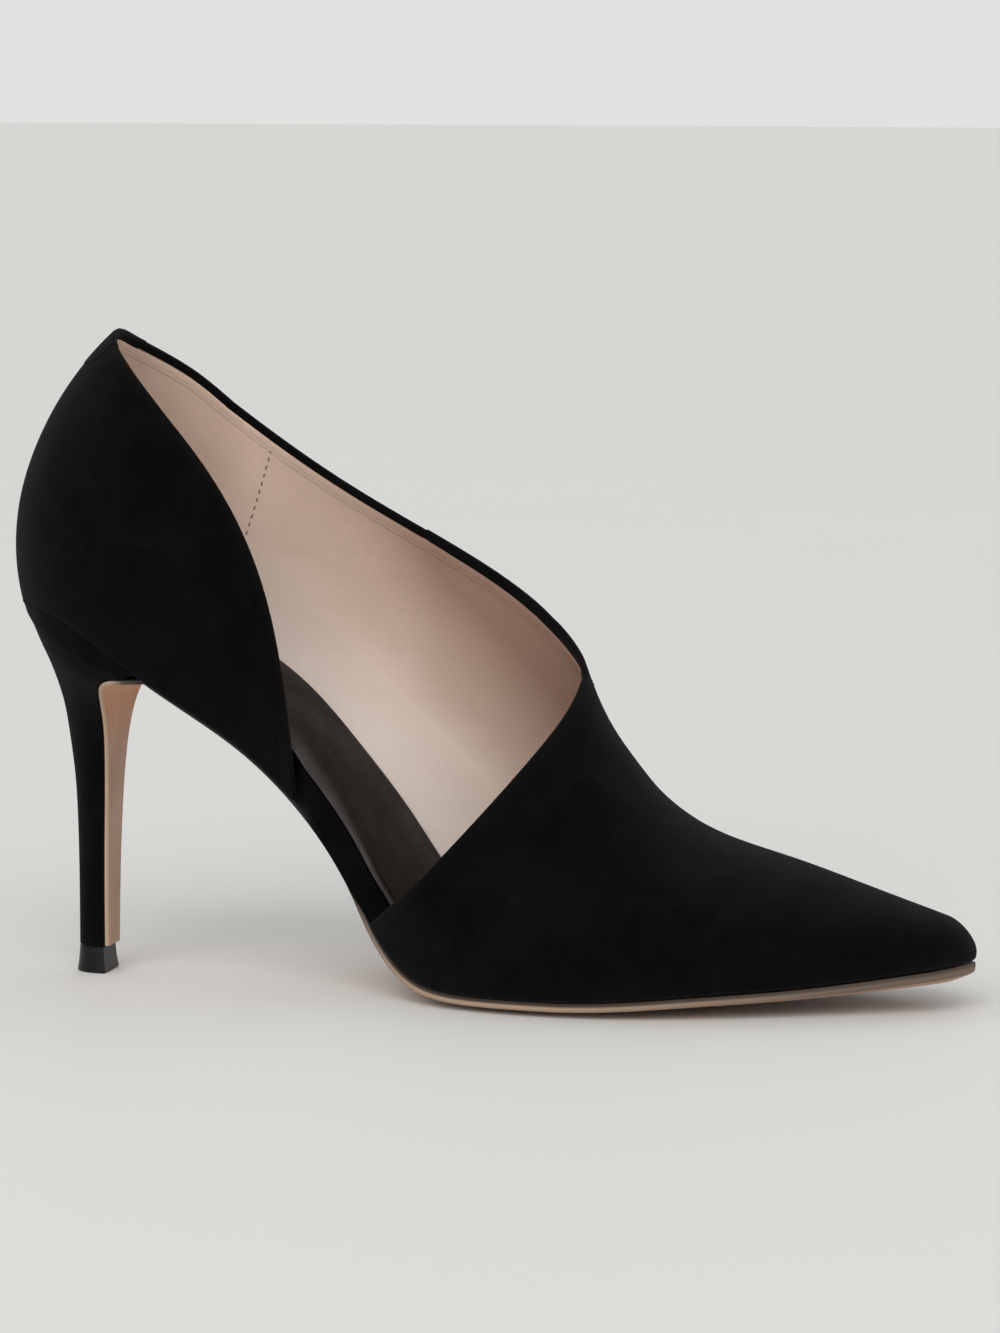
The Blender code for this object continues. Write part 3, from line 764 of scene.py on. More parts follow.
def make_lining_band(material, lining):
    """The strip of lining beside the folded edge, a little thicker where the edge is skived over."""
    path = [Vector(point) for point in lining_band_path(EDGE + QUARTER_FOLD + 0.0001)]
    inner = [lining.find_nearest(point)[1] for point in path]
    rings = []
    for k, point in enumerate(path):
        along = (path[min(k + 1, len(path) - 1)] - path[max(k - 1, 0)]).normalized()
        down = inner[k].cross(along).normalized()
        ring = []
        for reach, lift in BAND_PROFILE:
            hit, normal, _, _ = lining.find_nearest(point - inner[k] * WALL + down * reach)
            ring.append(hit + normal * lift)
        ring += [ring[-1] - inner[k] * 0.0002, ring[0] - inner[k] * 0.0002]
        rings.append(ring)
    points, faces = loft(rings)
    finish_piece("lining_band", points, faces, material, "upper", ["upper"])


def make_heel_tab(material):
    """The patch of suede that is folded over the collar at the back."""
    half_turn = math.radians(29)
    height = 0.12  # share of the collar's height that it covers
    thickness = 0.00018
    grid = []
    for across in np.linspace(-1, 1, 25):
        line = []
        for up in np.linspace(0, 1, 19):
            turn = math.pi / 2 + across * half_turn * math.sqrt(1 - (1 - up) ** 2.6)
            rib = fan_rib(turn)
            top = fan_top(turn, EDGE)
            line.append(rib.point(rib.share_at(top * (1 - height * (1 - up)))))
        grid.append(line)
    skin = Skin()
    skin.add(grid, first="overlay", last="overlay", low="overlay", high="rim", flip=True)
    skin.weld()

    def wrapped(top, bottom, _):
        outside = arc(WALL / 2 + top, -WALL / 2, (30, 75, 120, 160))
        inside = arc(WALL / 2 + bottom, -WALL / 2, (120, 60))
        hem = [(-TAB_FOLD, -WALL - top), (-TAB_FOLD, -WALL - bottom), (0.0, -WALL - bottom)]
        return outside + hem + inside

    profiles = {"rim": wrapped, "overlay": plain_edge, "plain": plain_edge}
    finish_skin("heel_tab", thick(skin, thickness, 0.00002, profiles), material)


# Footbed

def insole_thickness(x):
    return INSOLE_WAIST * insole(x)


def quarter_front(height):
    """How far along the shoe the inner quarter's front edge is, at that height."""
    along = np.linspace(MEDIAL_TOP[-1][0], MEDIAL_TOP[-4][0], FRONT_POINTS) * LENGTH
    heights = [COLLAR_HEIGHT * medial_top(x) for x in along]
    return float(np.interp(height, heights, along))


def bareness(rib, height):
    """1 where the cut-out leaves the footbed's inner side bare, 0 where the upper covers it."""
    vamp_rear = LENGTH * vamp_edge(rib.share_at(height) - 1)
    return smooth((rib.x - quarter_front(height)) / BARE_STEP) * smooth((vamp_rear - rib.x) / BARE_STEP)


def bed_ring(medial, lateral, low, high, crown, roll, tip_share):
    """Closed ring across the footbed with a crowned top that rolls down at its two edges.

    It lies inside the upper's wall, or reaches the last's surface where the cut-out leaves it bare.
    Round the toe the inset turns from sideways to backward.
    """
    def end(rib, height):
        covered = 1 - bareness(rib, height) if rib is medial else 1.0
        inset = WALL_SLANT * WALL * covered + GAP
        reach, _ = rib.profile(rib.share_at(height))
        x, y, z = rib.place(reach - inset * math.sqrt(1 - tip_share**2), height)
        return np.array((x - inset * tip_share, y, z))

    up = np.array((math.sin(medial.tilt), 0.0, math.cos(medial.tilt)))
    left, right = end(medial, high), end(lateral, high)
    width = np.linalg.norm(right - left)
    ring = []
    for k in np.linspace(0, 1, BED_POINTS):
        across = (1 - math.cos(math.pi * k)) / 2
        reach, drop = roll[0] if across < 0.5 else roll[1]
        short = max(1 - min(across, 1 - across) * width / reach, 0.0)
        fall = drop * (1 - math.sqrt(1 - short**2))
        ring.append(left + (right - left) * across + up * (crown * 4 * across * (1 - across) - fall))
    heights = np.linspace(high - roll[0][1], low, 5)[1:]
    ring += [end(lateral, height) for height in heights]
    left, right = end(medial, low), end(lateral, low)
    ring += [right + (left - right) * k for k in np.linspace(0, 1, 9)[1:-1]]
    ring += [end(medial, height) for height in heights[::-1]]
    return ring


def bed_rings(low_of, high_of, crown, roll_of):
    """Rings from the back of the heel to the toe; behind the pivot they cross the fan."""
    rings = []
    for turn in np.linspace(math.pi / 2, 0, FAN_RIBS // 2 + 1)[:-1]:
        inner, outer = fan_rib(math.pi - turn), fan_rib(turn)
        rings.append(bed_ring(inner, outer, low_of(PIVOT), high_of(PIVOT), crown, roll_of(PIVOT), 0.0))
    stops = [(x, 0.0) for x in np.linspace(PIVOT, TIP - NOSE, BED_STATIONS)]
    for turn in np.linspace(0, math.pi / 2, NOSE_STATIONS + 1)[1:-1]:
        stops.append((TIP - NOSE + NOSE * math.sin(turn), turn))
    for x, turn in stops:
        ribs = side_rib(x, False), side_rib(x, True)
        crowned = crown * math.cos(turn)
        rings.append(bed_ring(*ribs, low_of(x), high_of(x), crowned, roll_of(x), math.sin(turn)))
    return rings


def loft(rings):
    """Points and faces of a closed solid through rings of points."""
    count = len(rings[0])
    points = [point for ring in rings for point in ring]
    faces = []
    for k in range(len(rings) - 1):
        for i in range(count):
            j = (i + 1) % count
            faces.append((k * count + i, k * count + j, (k + 1) * count + j, (k + 1) * count + i))
    faces.append(tuple(range(count))[::-1])
    faces.append(tuple(range((len(rings) - 1) * count, len(rings) * count)))
    return points, faces


def board_top(x):
    return insole_thickness(x) - SOCK - GAP


def sock_roll(x):
    """(width, drop) of the sock's rolled edge on the inner and the outer side."""
    narrow = smooth((x / LENGTH - 0.29) / 0.11)
    return (0.0060 - 0.0048 * narrow, 0.00112), (0.0022, 0.00100)


def roll_shares(rings, roll_of, stations):
    """How far each point of the sock lies on the inner side's roll, ring by ring; the sock's painted
    sheen follows these shares.
    """
    shares = []
    for ring, x in zip(rings, stations):
        reach = 1.3 * roll_of(x)[0][0]
        near = np.array(ring[0])
        for k, point in enumerate(ring):
            away = np.linalg.norm(np.array(point) - near) if k < BED_POINTS else 0.0
            shares.append(smooth(1.15 - away / reach))
    return shares


def make_footbed(wrap, sock_leather):
    """The insole with its wrapped edge, and the sock on it, which rolls down at its edge."""
    rings = bed_rings(lambda x: 0.0, board_top, 0.0, lambda x: ((0.0005, 0.0004), (0.0005, 0.0004)))
    points, faces = loft(rings)
    finish_piece("insole_wrap", points, faces, wrap, "insole", ["insole"])
    rings = bed_rings(lambda x: board_top(x) + GAP / 2, insole_thickness, 0.0007, sock_roll)
    points, faces = loft(rings)
    stations = [PIVOT] * (FAN_RIBS // 2) + list(np.linspace(PIVOT, TIP - NOSE, BED_STATIONS))
    stations += [TIP] * (NOSE_STATIONS - 1)
    shares = roll_shares(rings, sock_roll, stations)
    finish_piece("sock_leather", points, faces, sock_leather, "sock", ["sock"], shares)


# Heel and soles

HEEL_NAMES = ("rear", "rear_height", "front", "front_height", "width")
SEAT_ROW = (
    BACK_SETBACK / SEAT_LENGTH,
    feather_height(BACK_SETBACK) / HEEL_HEIGHT,
    1.0,
    feather_height(SEAT_LENGTH) / HEEL_HEIGHT,
    1.0,
)
SEAT_HALF = side_rib(PIVOT, True).reach


def heel_columns():
    """Splines of the heel's rows by their number: 0 at the seat, the last at the stem's end."""
    foot = TOP_PIECE_HEIGHT + GAP
    stem = (
        STEM_SETBACK / SEAT_LENGTH,
        foot / HEEL_HEIGHT,
        (STEM_SETBACK + STEM_DEPTH) / SEAT_LENGTH,
        foot / HEEL_HEIGHT,
        STEM_WIDTH / 2 / SEAT_HALF,
    )
    rows = [(k, *row) for k, row in enumerate((SEAT_ROW, *HEEL, stem))]
    return columns(("row", *HEEL_NAMES), rows), len(rows) - 1


heel_row, HEEL_END = heel_columns()


def seat_outline():
    """(share from the back to the breast, side, y) of the seat's outline, round the back."""
    turns = np.linspace(0, math.pi / 2, SEAT_RIBS // 2 + 1)
    line = [BACK_SETBACK + (SEAT_LENGTH - BACK_SETBACK) * (1 - math.sin(turn)) for turn in turns]
    outline = []
    for outer, stops in ((True, line), (False, line[-2::-1])):
        for x in stops:
            rib = side_rib(max(x, PIVOT), outer)
            back = max(PIVOT - x, 0.0) / (PIVOT - BACK_SETBACK)
            reach = rib.reach * math.sqrt(max(1 - back * back, 0.0))
            outline.append((x, rib.centre + reach * rib.direction[1]))
    return outline


def heel_ring(rear, rear_z, front, front_z, half):
    """The seat's outline squeezed between a rear and a front point and to a half width."""
    ring = []
    for x, y in seat_outline():
        share = (x - BACK_SETBACK) / (SEAT_LENGTH - BACK_SETBACK)
        along = rear + (front - rear) * share - ORIGIN_SHIFT
        ring.append((along, y * half / SEAT_HALF, rear_z + (front_z - rear_z) * share))
    return ring


def heel_sizes(row):
    """(rear x, rear z, front x, front z, half width) at a place between the heel's rows."""
    scales = (SEAT_LENGTH, HEEL_HEIGHT, SEAT_LENGTH, HEEL_HEIGHT, SEAT_HALF)
    return [heel_row[name](row) * scale for name, scale in zip(HEEL_NAMES, scales)]


def make_heel(suede, plastic):
    """The suede-covered heel, and the moulded top piece under it."""
    rings = []
    for row in np.linspace(0, HEEL_END, HEEL_RINGS):
        ring = heel_ring(*heel_sizes(row))
        if row < 1:
            tops = [feather_height(x) - GAP for x, _ in seat_outline()]
            ring = [(x, y, z + (top - z) * (1 - row)) for (x, y, z), top in zip(ring, tops)]
        rings.append(ring)
    seat = rings[0]
    lifts = [HEEL_LIP * smooth((SEAT_LENGTH - x) / HEEL_LIP_FADE) for x, _ in seat_outline()]
    for inset, rise in HEEL_LIP_PROFILE:
        lip = []
        for (x, y, z), lift in zip(seat, lifts):
            inward = math.copysign(min(inset, abs(y)), y)
            lip.append((x + (inset if x < 0 else 0.0), y - inward, z + rise * lift))
        rings.insert(0, lip)
    points, faces = loft(rings)
    finish_piece("heel_cover", points, faces, suede, "heel", ["heel"])

    rear, _, front, _, half = heel_sizes(HEEL_END)
    steps = (
        (TOP_PIECE_HEIGHT, -0.0004),
        (TOP_PIECE_HEIGHT, -0.0002),
        (TOP_PIECE_HEIGHT - 0.0002, 0.0),
        (TOP_PIECE_HEIGHT / 2, TOP_PIECE_FLARE * 0.35),
        (0.0006, TOP_PIECE_FLARE * 0.95),
        (0.0002, TOP_PIECE_FLARE),
        (0.00005, TOP_PIECE_FLARE - 0.00012),
        (0.0, TOP_PIECE_FLARE - 0.0003),
    )
    rings = [heel_ring(rear - grow, z, front + grow, z, half + grow) for z, grow in steps]
    points, faces = loft(rings)
    finish_piece("top_piece_moulding", points, faces, plastic, "top_piece", ["top_piece"], sharp=35.0)


def sole_stations():
    """Rows (x, z, half width, thickness, crown, centre, waist) along the outsole's upper face."""
    rows = []
    turns = np.linspace(math.pi / 2, 0, 13)[:-1]
    stations = [TIP - NOSE + NOSE * math.sin(turn) for turn in turns]
    stations += list(np.linspace(TIP - NOSE, SEAT_LENGTH, SOLE_STATIONS)[:-1])
    for x in stations:
        rib = side_rib(x, True)
        waist = min(max(side["heel_rise"](x), 0.0) / WAIST_RISE, 1.0)
        half = max(rib.reach * (1 - WAIST_NARROWING * waist) - SOLE_INSET, 0.0)
        crown = SOLE_CROWN * (1 - WAIST_FLATTENING * waist) * min(half / CROWN_FADE, 1.0)
        thickness = SOLE_EDGE + (SOLE_WAIST - SOLE_EDGE) * waist
        rows.append((x, feather_height(x), half, thickness, crown, rib.centre, waist))
    for row in np.linspace(1, HEEL_END, BREAST_STATIONS):
        _, _, front, front_z, half = heel_sizes(row)
        waist = 1 - smooth((row - 0.6) / 1.6)
        rows.append((front, front_z, BREAST_WIDTH * half, BREAST_LEATHER, 0.0, 0.0, waist))
    return np.array(rows)


def make_outsole(material):
    """The leather outsole, which runs on from the waist down the breast of the heel."""
    rows = sole_stations()
    steps = np.gradient(rows[:, :2], axis=0)
    steps /= np.linalg.norm(steps, axis=1)[:, None]
    corner = 0.0009
    rings = []
    edge = []
    waists = []
    for (x, z, half, thickness, crown, centre, waist), (dx, dz) in zip(rows, steps):
        down = np.array([-dz, dx])
        ring = []
        for face in (1, -1):
            for step in np.linspace(-1, 1, SOLE_POINTS)[::face]:
                k = math.sin(step * math.pi / 2)
                depth = GAP
                if face < 0:
                    bow = max(abs(k) - SOLE_FLAT, 0.0) / (1 - SOLE_FLAT)
                    short = max(corner - (1 - abs(k)) * half, 0.0)
                    fall = corner - math.sqrt(max(corner**2 - short**2, 0.0))
                    depth += thickness + crown * (1 - bow * bow) - fall
                px, pz = np.array([x, z]) + down * depth
                ring.append((px - ORIGIN_SHIFT, centre + k * half, pz))
                trimmed = max(abs(k) * half - (half - corner), 0.0) / corner
                edge.append(trimmed * (2.0 if face > 0 else 1.0))
                waists.append(waist)
        rings.append(ring)
    points, faces = loft(rings)
    nodes = ["outsole"]
    finish_piece("outsole_leather", points, faces, material, "outsole", nodes, edge, waists, sharp=60.0)


# Threads and seams, made by Geometry Nodes along paths on the last

def group_socket(tree, name, kind, default=None, output=False):
    flow = "OUTPUT" if output else "INPUT"
    socket = tree.interface.new_socket(name, in_out=flow, socket_type="NodeSocket" + kind)
    if default is not None:
        socket.default_value = default


def new_nodes(tree, *kinds):
    return [tree.nodes.new(kind) for kind in kinds]


def join_nodes(tree, *links):
    """Each link names a node, its output, the next node and its input."""
    for source, output, target, given in links:
        tree.links.new(source.outputs[output], target.inputs[given])


def scaled_by(tree, share):
    """A node that multiplies its first input by the share."""
    node = tree.nodes.new("ShaderNodeMath")
    node.operation = "MULTIPLY"
    node.inputs[1].default_value = share
    return node


def stitch_tree():
    """Stitches of one length at an even pitch along a path, each turned a little."""
    tree = bpy.data.node_groups.new("stitch_row", "GeometryNodeTree")
    group_socket(tree, "Path", "Geometry")
    group_socket(tree, "Pitch", "Float", 0.0021)
    group_socket(tree, "Stitch length", "Float", 0.0015)
    group_socket(tree, "Thread radius", "Float", 0.00022)
    group_socket(tree, "Slant", "Float", 0.08)
    group_socket(tree, "Seed", "Int", 3)
    group_socket(tree, "Thread", "Material")
    group_socket(tree, "Stitches", "Geometry", output=True)
    given, out, points, tangent, turn, slant, spin, rotate = new_nodes(
        tree, "NodeGroupInput", "NodeGroupOutput", "GeometryNodeResampleCurve",
        "GeometryNodeInputTangent", "FunctionNodeAlignRotationToVector", "FunctionNodeRandomValue",
        "FunctionNodeEulerToRotation", "FunctionNodeRotateRotation",
    )
    ball, size, form, copy, real, paint = new_nodes(
        tree, "GeometryNodeMeshUVSphere", "ShaderNodeCombineXYZ", "GeometryNodeTransform",
        "GeometryNodeInstanceOnPoints", "GeometryNodeRealizeInstances", "GeometryNodeSetMaterial",
    )
    half = scaled_by(tree, 0.5)
    other_way = scaled_by(tree, -1.0)
    points.mode = "LENGTH"
    turn.axis = "X"
    slant.data_type = "FLOAT_VECTOR"
    ball.inputs["Segments"].default_value = 8
    ball.inputs["Rings"].default_value = 6
    ball.inputs["Radius"].default_value = 1.0
    join_nodes(
        tree,
        (given, "Path", points, "Curve"),
        (given, "Pitch", points, "Length"),
        (given, "Stitch length", half, 0),
        (half, 0, size, "X"),
        (given, "Thread radius", size, "Y"),
        (given, "Thread radius", size, "Z"),
        (ball, "Mesh", form, "Geometry"),
        (size, "Vector", form, "Scale"),
        (tangent, "Tangent", turn, "Vector"),
        (given, "Slant", other_way, 0),
        (other_way, 0, slant, 0),
        (given, "Slant", slant, 1),
        (given, "Seed", slant, "Seed"),
        (slant, 0, spin, 0),
        (turn, "Rotation", rotate, "Rotation"),
        (spin, 0, rotate, "Rotate By"),
        (points, "Curve", copy, "Points"),
        (form, "Geometry", copy, "Instance"),
        (rotate, "Rotation", copy, "Rotation"),
        (copy, "Instances", real, "Geometry"),
        (real, "Geometry", paint, "Geometry"),
        (given, "Thread", paint, "Material"),
        (paint, "Geometry", out, "Stitches"),
    )
    return tree


def seam_tree():
    """A low ridge along a path, as a seam makes where two edges are turned in."""
    tree = bpy.data.node_groups.new("seam_ridge", "GeometryNodeTree")
    group_socket(tree, "Path", "Geometry")
    group_socket(tree, "Width", "Float", 0.0010)
    group_socket(tree, "Finish", "Material")
    group_socket(tree, "Ridge", "Geometry", output=True)
    given, out, circle, sweep, real, paint = new_nodes(
        tree, "NodeGroupInput", "NodeGroupOutput", "GeometryNodeCurvePrimitiveCircle",
        "GeometryNodeCurveToMesh", "GeometryNodeRealizeInstances", "GeometryNodeSetMaterial",
    )
    half = scaled_by(tree, 0.5)
    circle.inputs["Resolution"].default_value = 10
    sweep.inputs["Fill Caps"].default_value = True
    join_nodes(
        tree,
        (given, "Width", half, 0),
        (half, 0, circle, "Radius"),
        (given, "Path", sweep, "Curve"),
        (circle, "Curve", sweep, "Profile Curve"),
        (sweep, "Mesh", real, "Geometry"),
        (real, "Geometry", paint, "Geometry"),
        (given, "Finish", paint, "Material"),
        (paint, "Geometry", out, "Ridge"),
    )
    return tree


def path_curve(paths):
    """A curve object with a straight-run spline for each list of points."""
    data = bpy.data.curves.new("path", "CURVE")
    data.dimensions = "3D"
    for points in paths:
        run = data.splines.new("POLY")
        run.points.add(len(points) - 1)
        for target, point in zip(run.points, points):
            target.co = (*point, 1.0)
    return place_object("path", data)


def grow(tree, paths, name, slot, **inputs):
    """Runs a tree along the paths and keeps what it makes as a plain mesh."""
    path = path_curve(paths)
    modifier = path.modifiers.new(name, "NODES")
    modifier.node_group = tree
    for item in tree.interface.items_tree:
        key = item.name.lower().replace(" ", "_")
        if item.in_out == "INPUT" and key in inputs:
            modifier[item.identifier] = inputs[key]
    graph = bpy.context.evaluated_depsgraph_get()
    mesh = bpy.data.meshes.new_from_object(path.evaluated_get(graph), depsgraph=graph)
    mesh.name = name
    bpy.data.objects.remove(path)
    mesh.shade_smooth()
    return dress(place_object(name, mesh), slot)


def topline_path(drop, lift, start=SEAM):
    """Points beside the topline, from the wing's seam round the heel to the inner quarter's foot."""
    ribs = quarter_ribs(start, drop, LASTING + 0.002)
    return [rib.lifted(high, lift) for rib, _, high in ribs]


def vamp_edge_path(drop, lift):
    """Points beside the vamp's rear edge, from the sole on the inner side over the throat."""
    points = []
    for outer, share, _, start in vamp_rows(drop, EDGE_FOOT)[: THROAT_ROWS * 2 + QUARTER_ROWS + 1]:
        rib = side_rib(start, outer)
        low = rib.share_at(EDGE_FOOT)
        points.append(rib.lifted(low + (1 - low) * share, lift))
    for x in np.linspace(SPLIT * LENGTH, SEAM, 24)[1:]:
        rib = side_rib(x, True)
        points.append(rib.lifted(rib.share_at(top_height(lateral_top, x, drop)), lift))
    return points


def rib_path(rib, low, high, lift, count=40):
    """Points up one rib between two heights."""
    return [rib.lifted(rib.share_at(h), lift) for h in np.linspace(low, high, count)]


def make_stitching(threads):
    """Rows of stitches, and the seams that are sewn edge to edge."""
    tree = stitch_tree()
    fine = {"pitch": 0.0021, "stitch_length": 0.0016, "thread_radius": 0.00016}
    rows = [topline_path(EDGE + STITCH_IN, 0.00002), vamp_edge_path(EDGE + STITCH_IN, 0.00002)]
    top = top_height(lateral_top, SEAM, EDGE + STITCH_IN)
    for past, lift in ((STITCH_IN, WING_LIFT), (STITCH_IN + 0.0022, WING_LIFT - 0.00002)):
        rows.append(rib_path(side_rib(SEAM + past, True), 0.002, top, lift))
    grow(tree, rows, "suede_stitches", "upper", thread=threads["black"], seed=5, **fine)

    inside = LINING_INSIDE - 0.00002
    drop = EDGE + QUARTER_FOLD + 0.0018
    row = topline_path(drop, inside, SPLIT * LENGTH)
    beside_tab = OUTER_RIBS + 17, OUTER_RIBS + 40
    rows = [row[: beside_tab[0]], row[beside_tab[1] :]]
    grow(tree, rows, "lining_edge_stitches", "upper", thread=threads["beige"], seed=8, **fine)

    top = top_height(lateral_top, LINING_SEAM, drop + 0.0006)
    rows = [rib_path(side_rib(LINING_SEAM, True), insole_thickness(LINING_SEAM), top, inside)]
    coarse = {"pitch": 0.0021, "stitch_length": 0.0012, "thread_radius": 0.00022}
    grow(tree, rows, "lining_seam_stitches", "upper", thread=threads["brown"], seed=11, **coarse)


def make_back_seam(suede):
    """The closed seam down the back of the counter."""
    back = math.pi / 2
    path = rib_path(fan_rib(back), 0.0, fan_top(back, EDGE), -0.00012, 60)
    grow(seam_tree(), [path], "back_seam", "upper", width=0.0007, finish=suede)


# Materials

def wire(tree, kind, values=None, **settings):
    """Adds a shader node, sets its properties, and links or sets the named inputs."""
    made = tree.nodes.new(kind)
    for key, value in settings.items():
        setattr(made, key, value)
    for key, value in (values or {}).items():
        if isinstance(value, bpy.types.NodeSocket):
            tree.links.new(value, made.inputs[key])
        else:
            made.inputs[key].default_value = value
    return made


def math_node(tree, operation, first, second=0.0):
    return wire(tree, "ShaderNodeMath", {0: first, 1: second}, operation=operation).outputs[0]


def product(tree, first, second):
    return math_node(tree, "MULTIPLY", first, second)


def weighted(tree, *terms):
    """Sum of the terms, each a value and its weight."""
    total = product(tree, *terms[0])
    for term in terms[1:]:
        total = math_node(tree, "ADD", total, product(tree, *term))
    return total


def mixed(tree, share, first, second):
    """Colour between two colours."""
    node = wire(tree, "ShaderNodeMix", {"Factor": share}, data_type="RGBA")
    for socket, value in ((node.inputs[6], first), (node.inputs[7], second)):
        if isinstance(value, bpy.types.NodeSocket):
            tree.links.new(value, socket)
        else:
            socket.default_value = (*value, 1.0)
    return node.outputs[2]


def stained(tree, colour, stain, mask, strength=None):
    """The colour, with another one over it where the mask says so."""
    return mixed(tree, product(tree, mask, strength) if strength else mask, colour, stain)


def ranged(tree, value, low, high, new_low=0.0, new_high=1.0):
    """The value, stretched so that low and high become the new ones, and kept between them."""
    values = {"Value": value, "From Min": low, "From Max": high, "To Min": new_low, "To Max": new_high}
    return wire(tree, "ShaderNodeMapRange", values).outputs["Result"]


def noise(tree, vector, scale, detail=2.0, roughness=0.5, distortion=0.0, output=0):
    values = {"Vector": vector, "Scale": scale, "Detail": detail}
    values |= {"Roughness": roughness, "Distortion": distortion}
    return wire(tree, "ShaderNodeTexNoise", values).outputs[output]


def drawn_out(tree, vector, rotation, scale):
    """The coordinates, turned and stretched."""
    values = {"Vector": vector, "Rotation": rotation, "Scale": scale}
    return wire(tree, "ShaderNodeMapping", values).outputs[0]


def spoken(key):
    return key.replace("_", " ").capitalize()


def effect(name, **inputs):
    """A new shader group and its inputs."""
    tree = bpy.data.node_groups.new(name, "ShaderNodeTree")
    group_socket(tree, "Vector", "Vector")
    for key, default in inputs.items():
        group_socket(tree, spoken(key), "Float", default)
    return tree, tree.nodes.new("NodeGroupInput").outputs


def put_out(tree, **results):
    """Gives the group its outputs."""
    for key in results:
        group_socket(tree, spoken(key), "Float", output=True)
    out = tree.nodes.new("NodeGroupOutput")
    for key, value in results.items():
        tree.links.new(value, out.inputs[spoken(key)])
    return tree


def nap_effect():
    """Raised fibres: how light the nap looks where it was brushed, and its height."""
    tree, given = effect("suede_nap", fibre_scale=2600.0, brush_scale=60.0)
    lean = drawn_out(tree, given["Vector"], (0.3, 0.5, 0.2), (1.0, 1.7, 0.6))
    fibre = noise(tree, lean, given["Fibre scale"], 3.0, 0.75)
    tuft = noise(tree, lean, product(tree, given["Fibre scale"], 0.16), 4.0, 0.6)
    brush = noise(tree, given["Vector"], given["Brush scale"], 3.0, 0.55, 0.9)
    strokes = ranged(tree, brush, 0.36, 0.66)
    speck = ranged(tree, fibre, 0.3, 0.72)
    clumps = ranged(tree, tuft, 0.3, 0.7)
    tone = weighted(tree, (strokes, 0.55), (clumps, 0.20), (speck, 0.25))
    return put_out(tree, tone=tone, height=weighted(tree, (speck, 0.6), (clumps, 0.4)))


def grain_effect():
    """Fine leather grain: cells with creases between them, over soft undulations."""
    tree, given = effect("leather_grain", cell_scale=1500.0, wave_scale=60.0)
    bend = noise(tree, given["Vector"], given["Cell scale"], output="Color")
    small = {0: bend, 1: (0.0005, 0.0005, 0.0005)}
    warp = wire(tree, "ShaderNodeVectorMath", small, operation="MULTIPLY").outputs[0]
    moved = wire(tree, "ShaderNodeVectorMath", {0: given["Vector"], 1: warp}, operation="ADD").outputs[0]
    values = {"Vector": moved, "Scale": given["Cell scale"]}
    cells = wire(tree, "ShaderNodeTexVoronoi", values, feature="DISTANCE_TO_EDGE")
    creases = ranged(tree, cells.outputs["Distance"], 0.0, 0.22, 1.0, 0.0)
    waves = noise(tree, given["Vector"], given["Wave scale"])
    return put_out(tree, creases=creases, height=weighted(tree, (waves, 1.6), (creases, -0.35)))


def dye_effect():
    """Slow changes of tone, as in dyed or handled leather, in two independent masks."""
    tree, given = effect("uneven_dye", patch_scale=22.0, cloud_scale=70.0)
    patch = noise(tree, given["Vector"], given["Patch scale"], distortion=0.4)
    cloud = noise(tree, given["Vector"], given["Cloud scale"], 4.0, 0.6)
    patches = ranged(tree, patch, 0.35, 0.65)
    return put_out(tree, patches=patches, clouds=ranged(tree, cloud, 0.33, 0.67))


def scuff_effect():
    """Thin scratches and rubbed specks."""
    tree, given = effect("scuffs", scratch_scale=160.0, speck_scale=900.0)
    line = drawn_out(tree, given["Vector"], (0.0, 0.0, 0.4), (0.12, 2.2, 1.0))
    scratch = noise(tree, line, given["Scratch scale"], 3.0, distortion=0.3)
    speck = noise(tree, given["Vector"], given["Speck scale"])
    scratches = ranged(tree, scratch, 0.62, 0.72)
    return put_out(tree, scratches=scratches, specks=ranged(tree, speck, 0.60, 0.75))


EFFECTS = {"nap": nap_effect(), "grain": grain_effect(), "dye": dye_effect(), "scuff": scuff_effect()}


def blank(name, roughness, specular):
    """A material with object coordinates ready: (material, tree, shader, vector)."""
    made = bpy.data.materials.new(name)
    made.use_nodes = True
    tree = made.node_tree
    shader = tree.nodes["Principled BSDF"]
    shader.inputs["Roughness"].default_value = roughness
    shader.inputs["Specular IOR Level"].default_value = specular
    return made, tree, shader, wire(tree, "ShaderNodeTexCoord").outputs["Object"]


def use(tree, effect_name, vector, **values):
    """Places an effect group with its own values."""
    node = tree.nodes.new("ShaderNodeGroup")
    node.node_tree = EFFECTS[effect_name]
    tree.links.new(vector, node.inputs["Vector"])
    for key, value in values.items():
        node.inputs[spoken(key)].default_value = value
    return node.outputs


def surface(tree, shader, colour, mask=None, roughness=(0.0, 1.0), height=None, bump=(0.0, 0.0)):
    """Links colour, roughness (its values where the mask is 0 and 1) and bump (strength, depth)."""
    tree.links.new(colour, shader.inputs["Base Color"])
    if mask:
        tree.links.new(ranged(tree, mask, 0.0, 1.0, *roughness), shader.inputs["Roughness"])
    if height:
        values = {"Height": height, "Strength": bump[0], "Distance": bump[1]}
        tree.links.new(wire(tree, "ShaderNodeBump", values).outputs[0], shader.inputs["Normal"])


def point_share(tree, name):
    """The piece's own edge or waist attribute."""
    return wire(tree, "ShaderNodeAttribute", attribute_name=name).outputs["Fac"]


def place_of(tree, vector):
    return wire(tree, "ShaderNodeSeparateXYZ", {"Vector": vector}).outputs


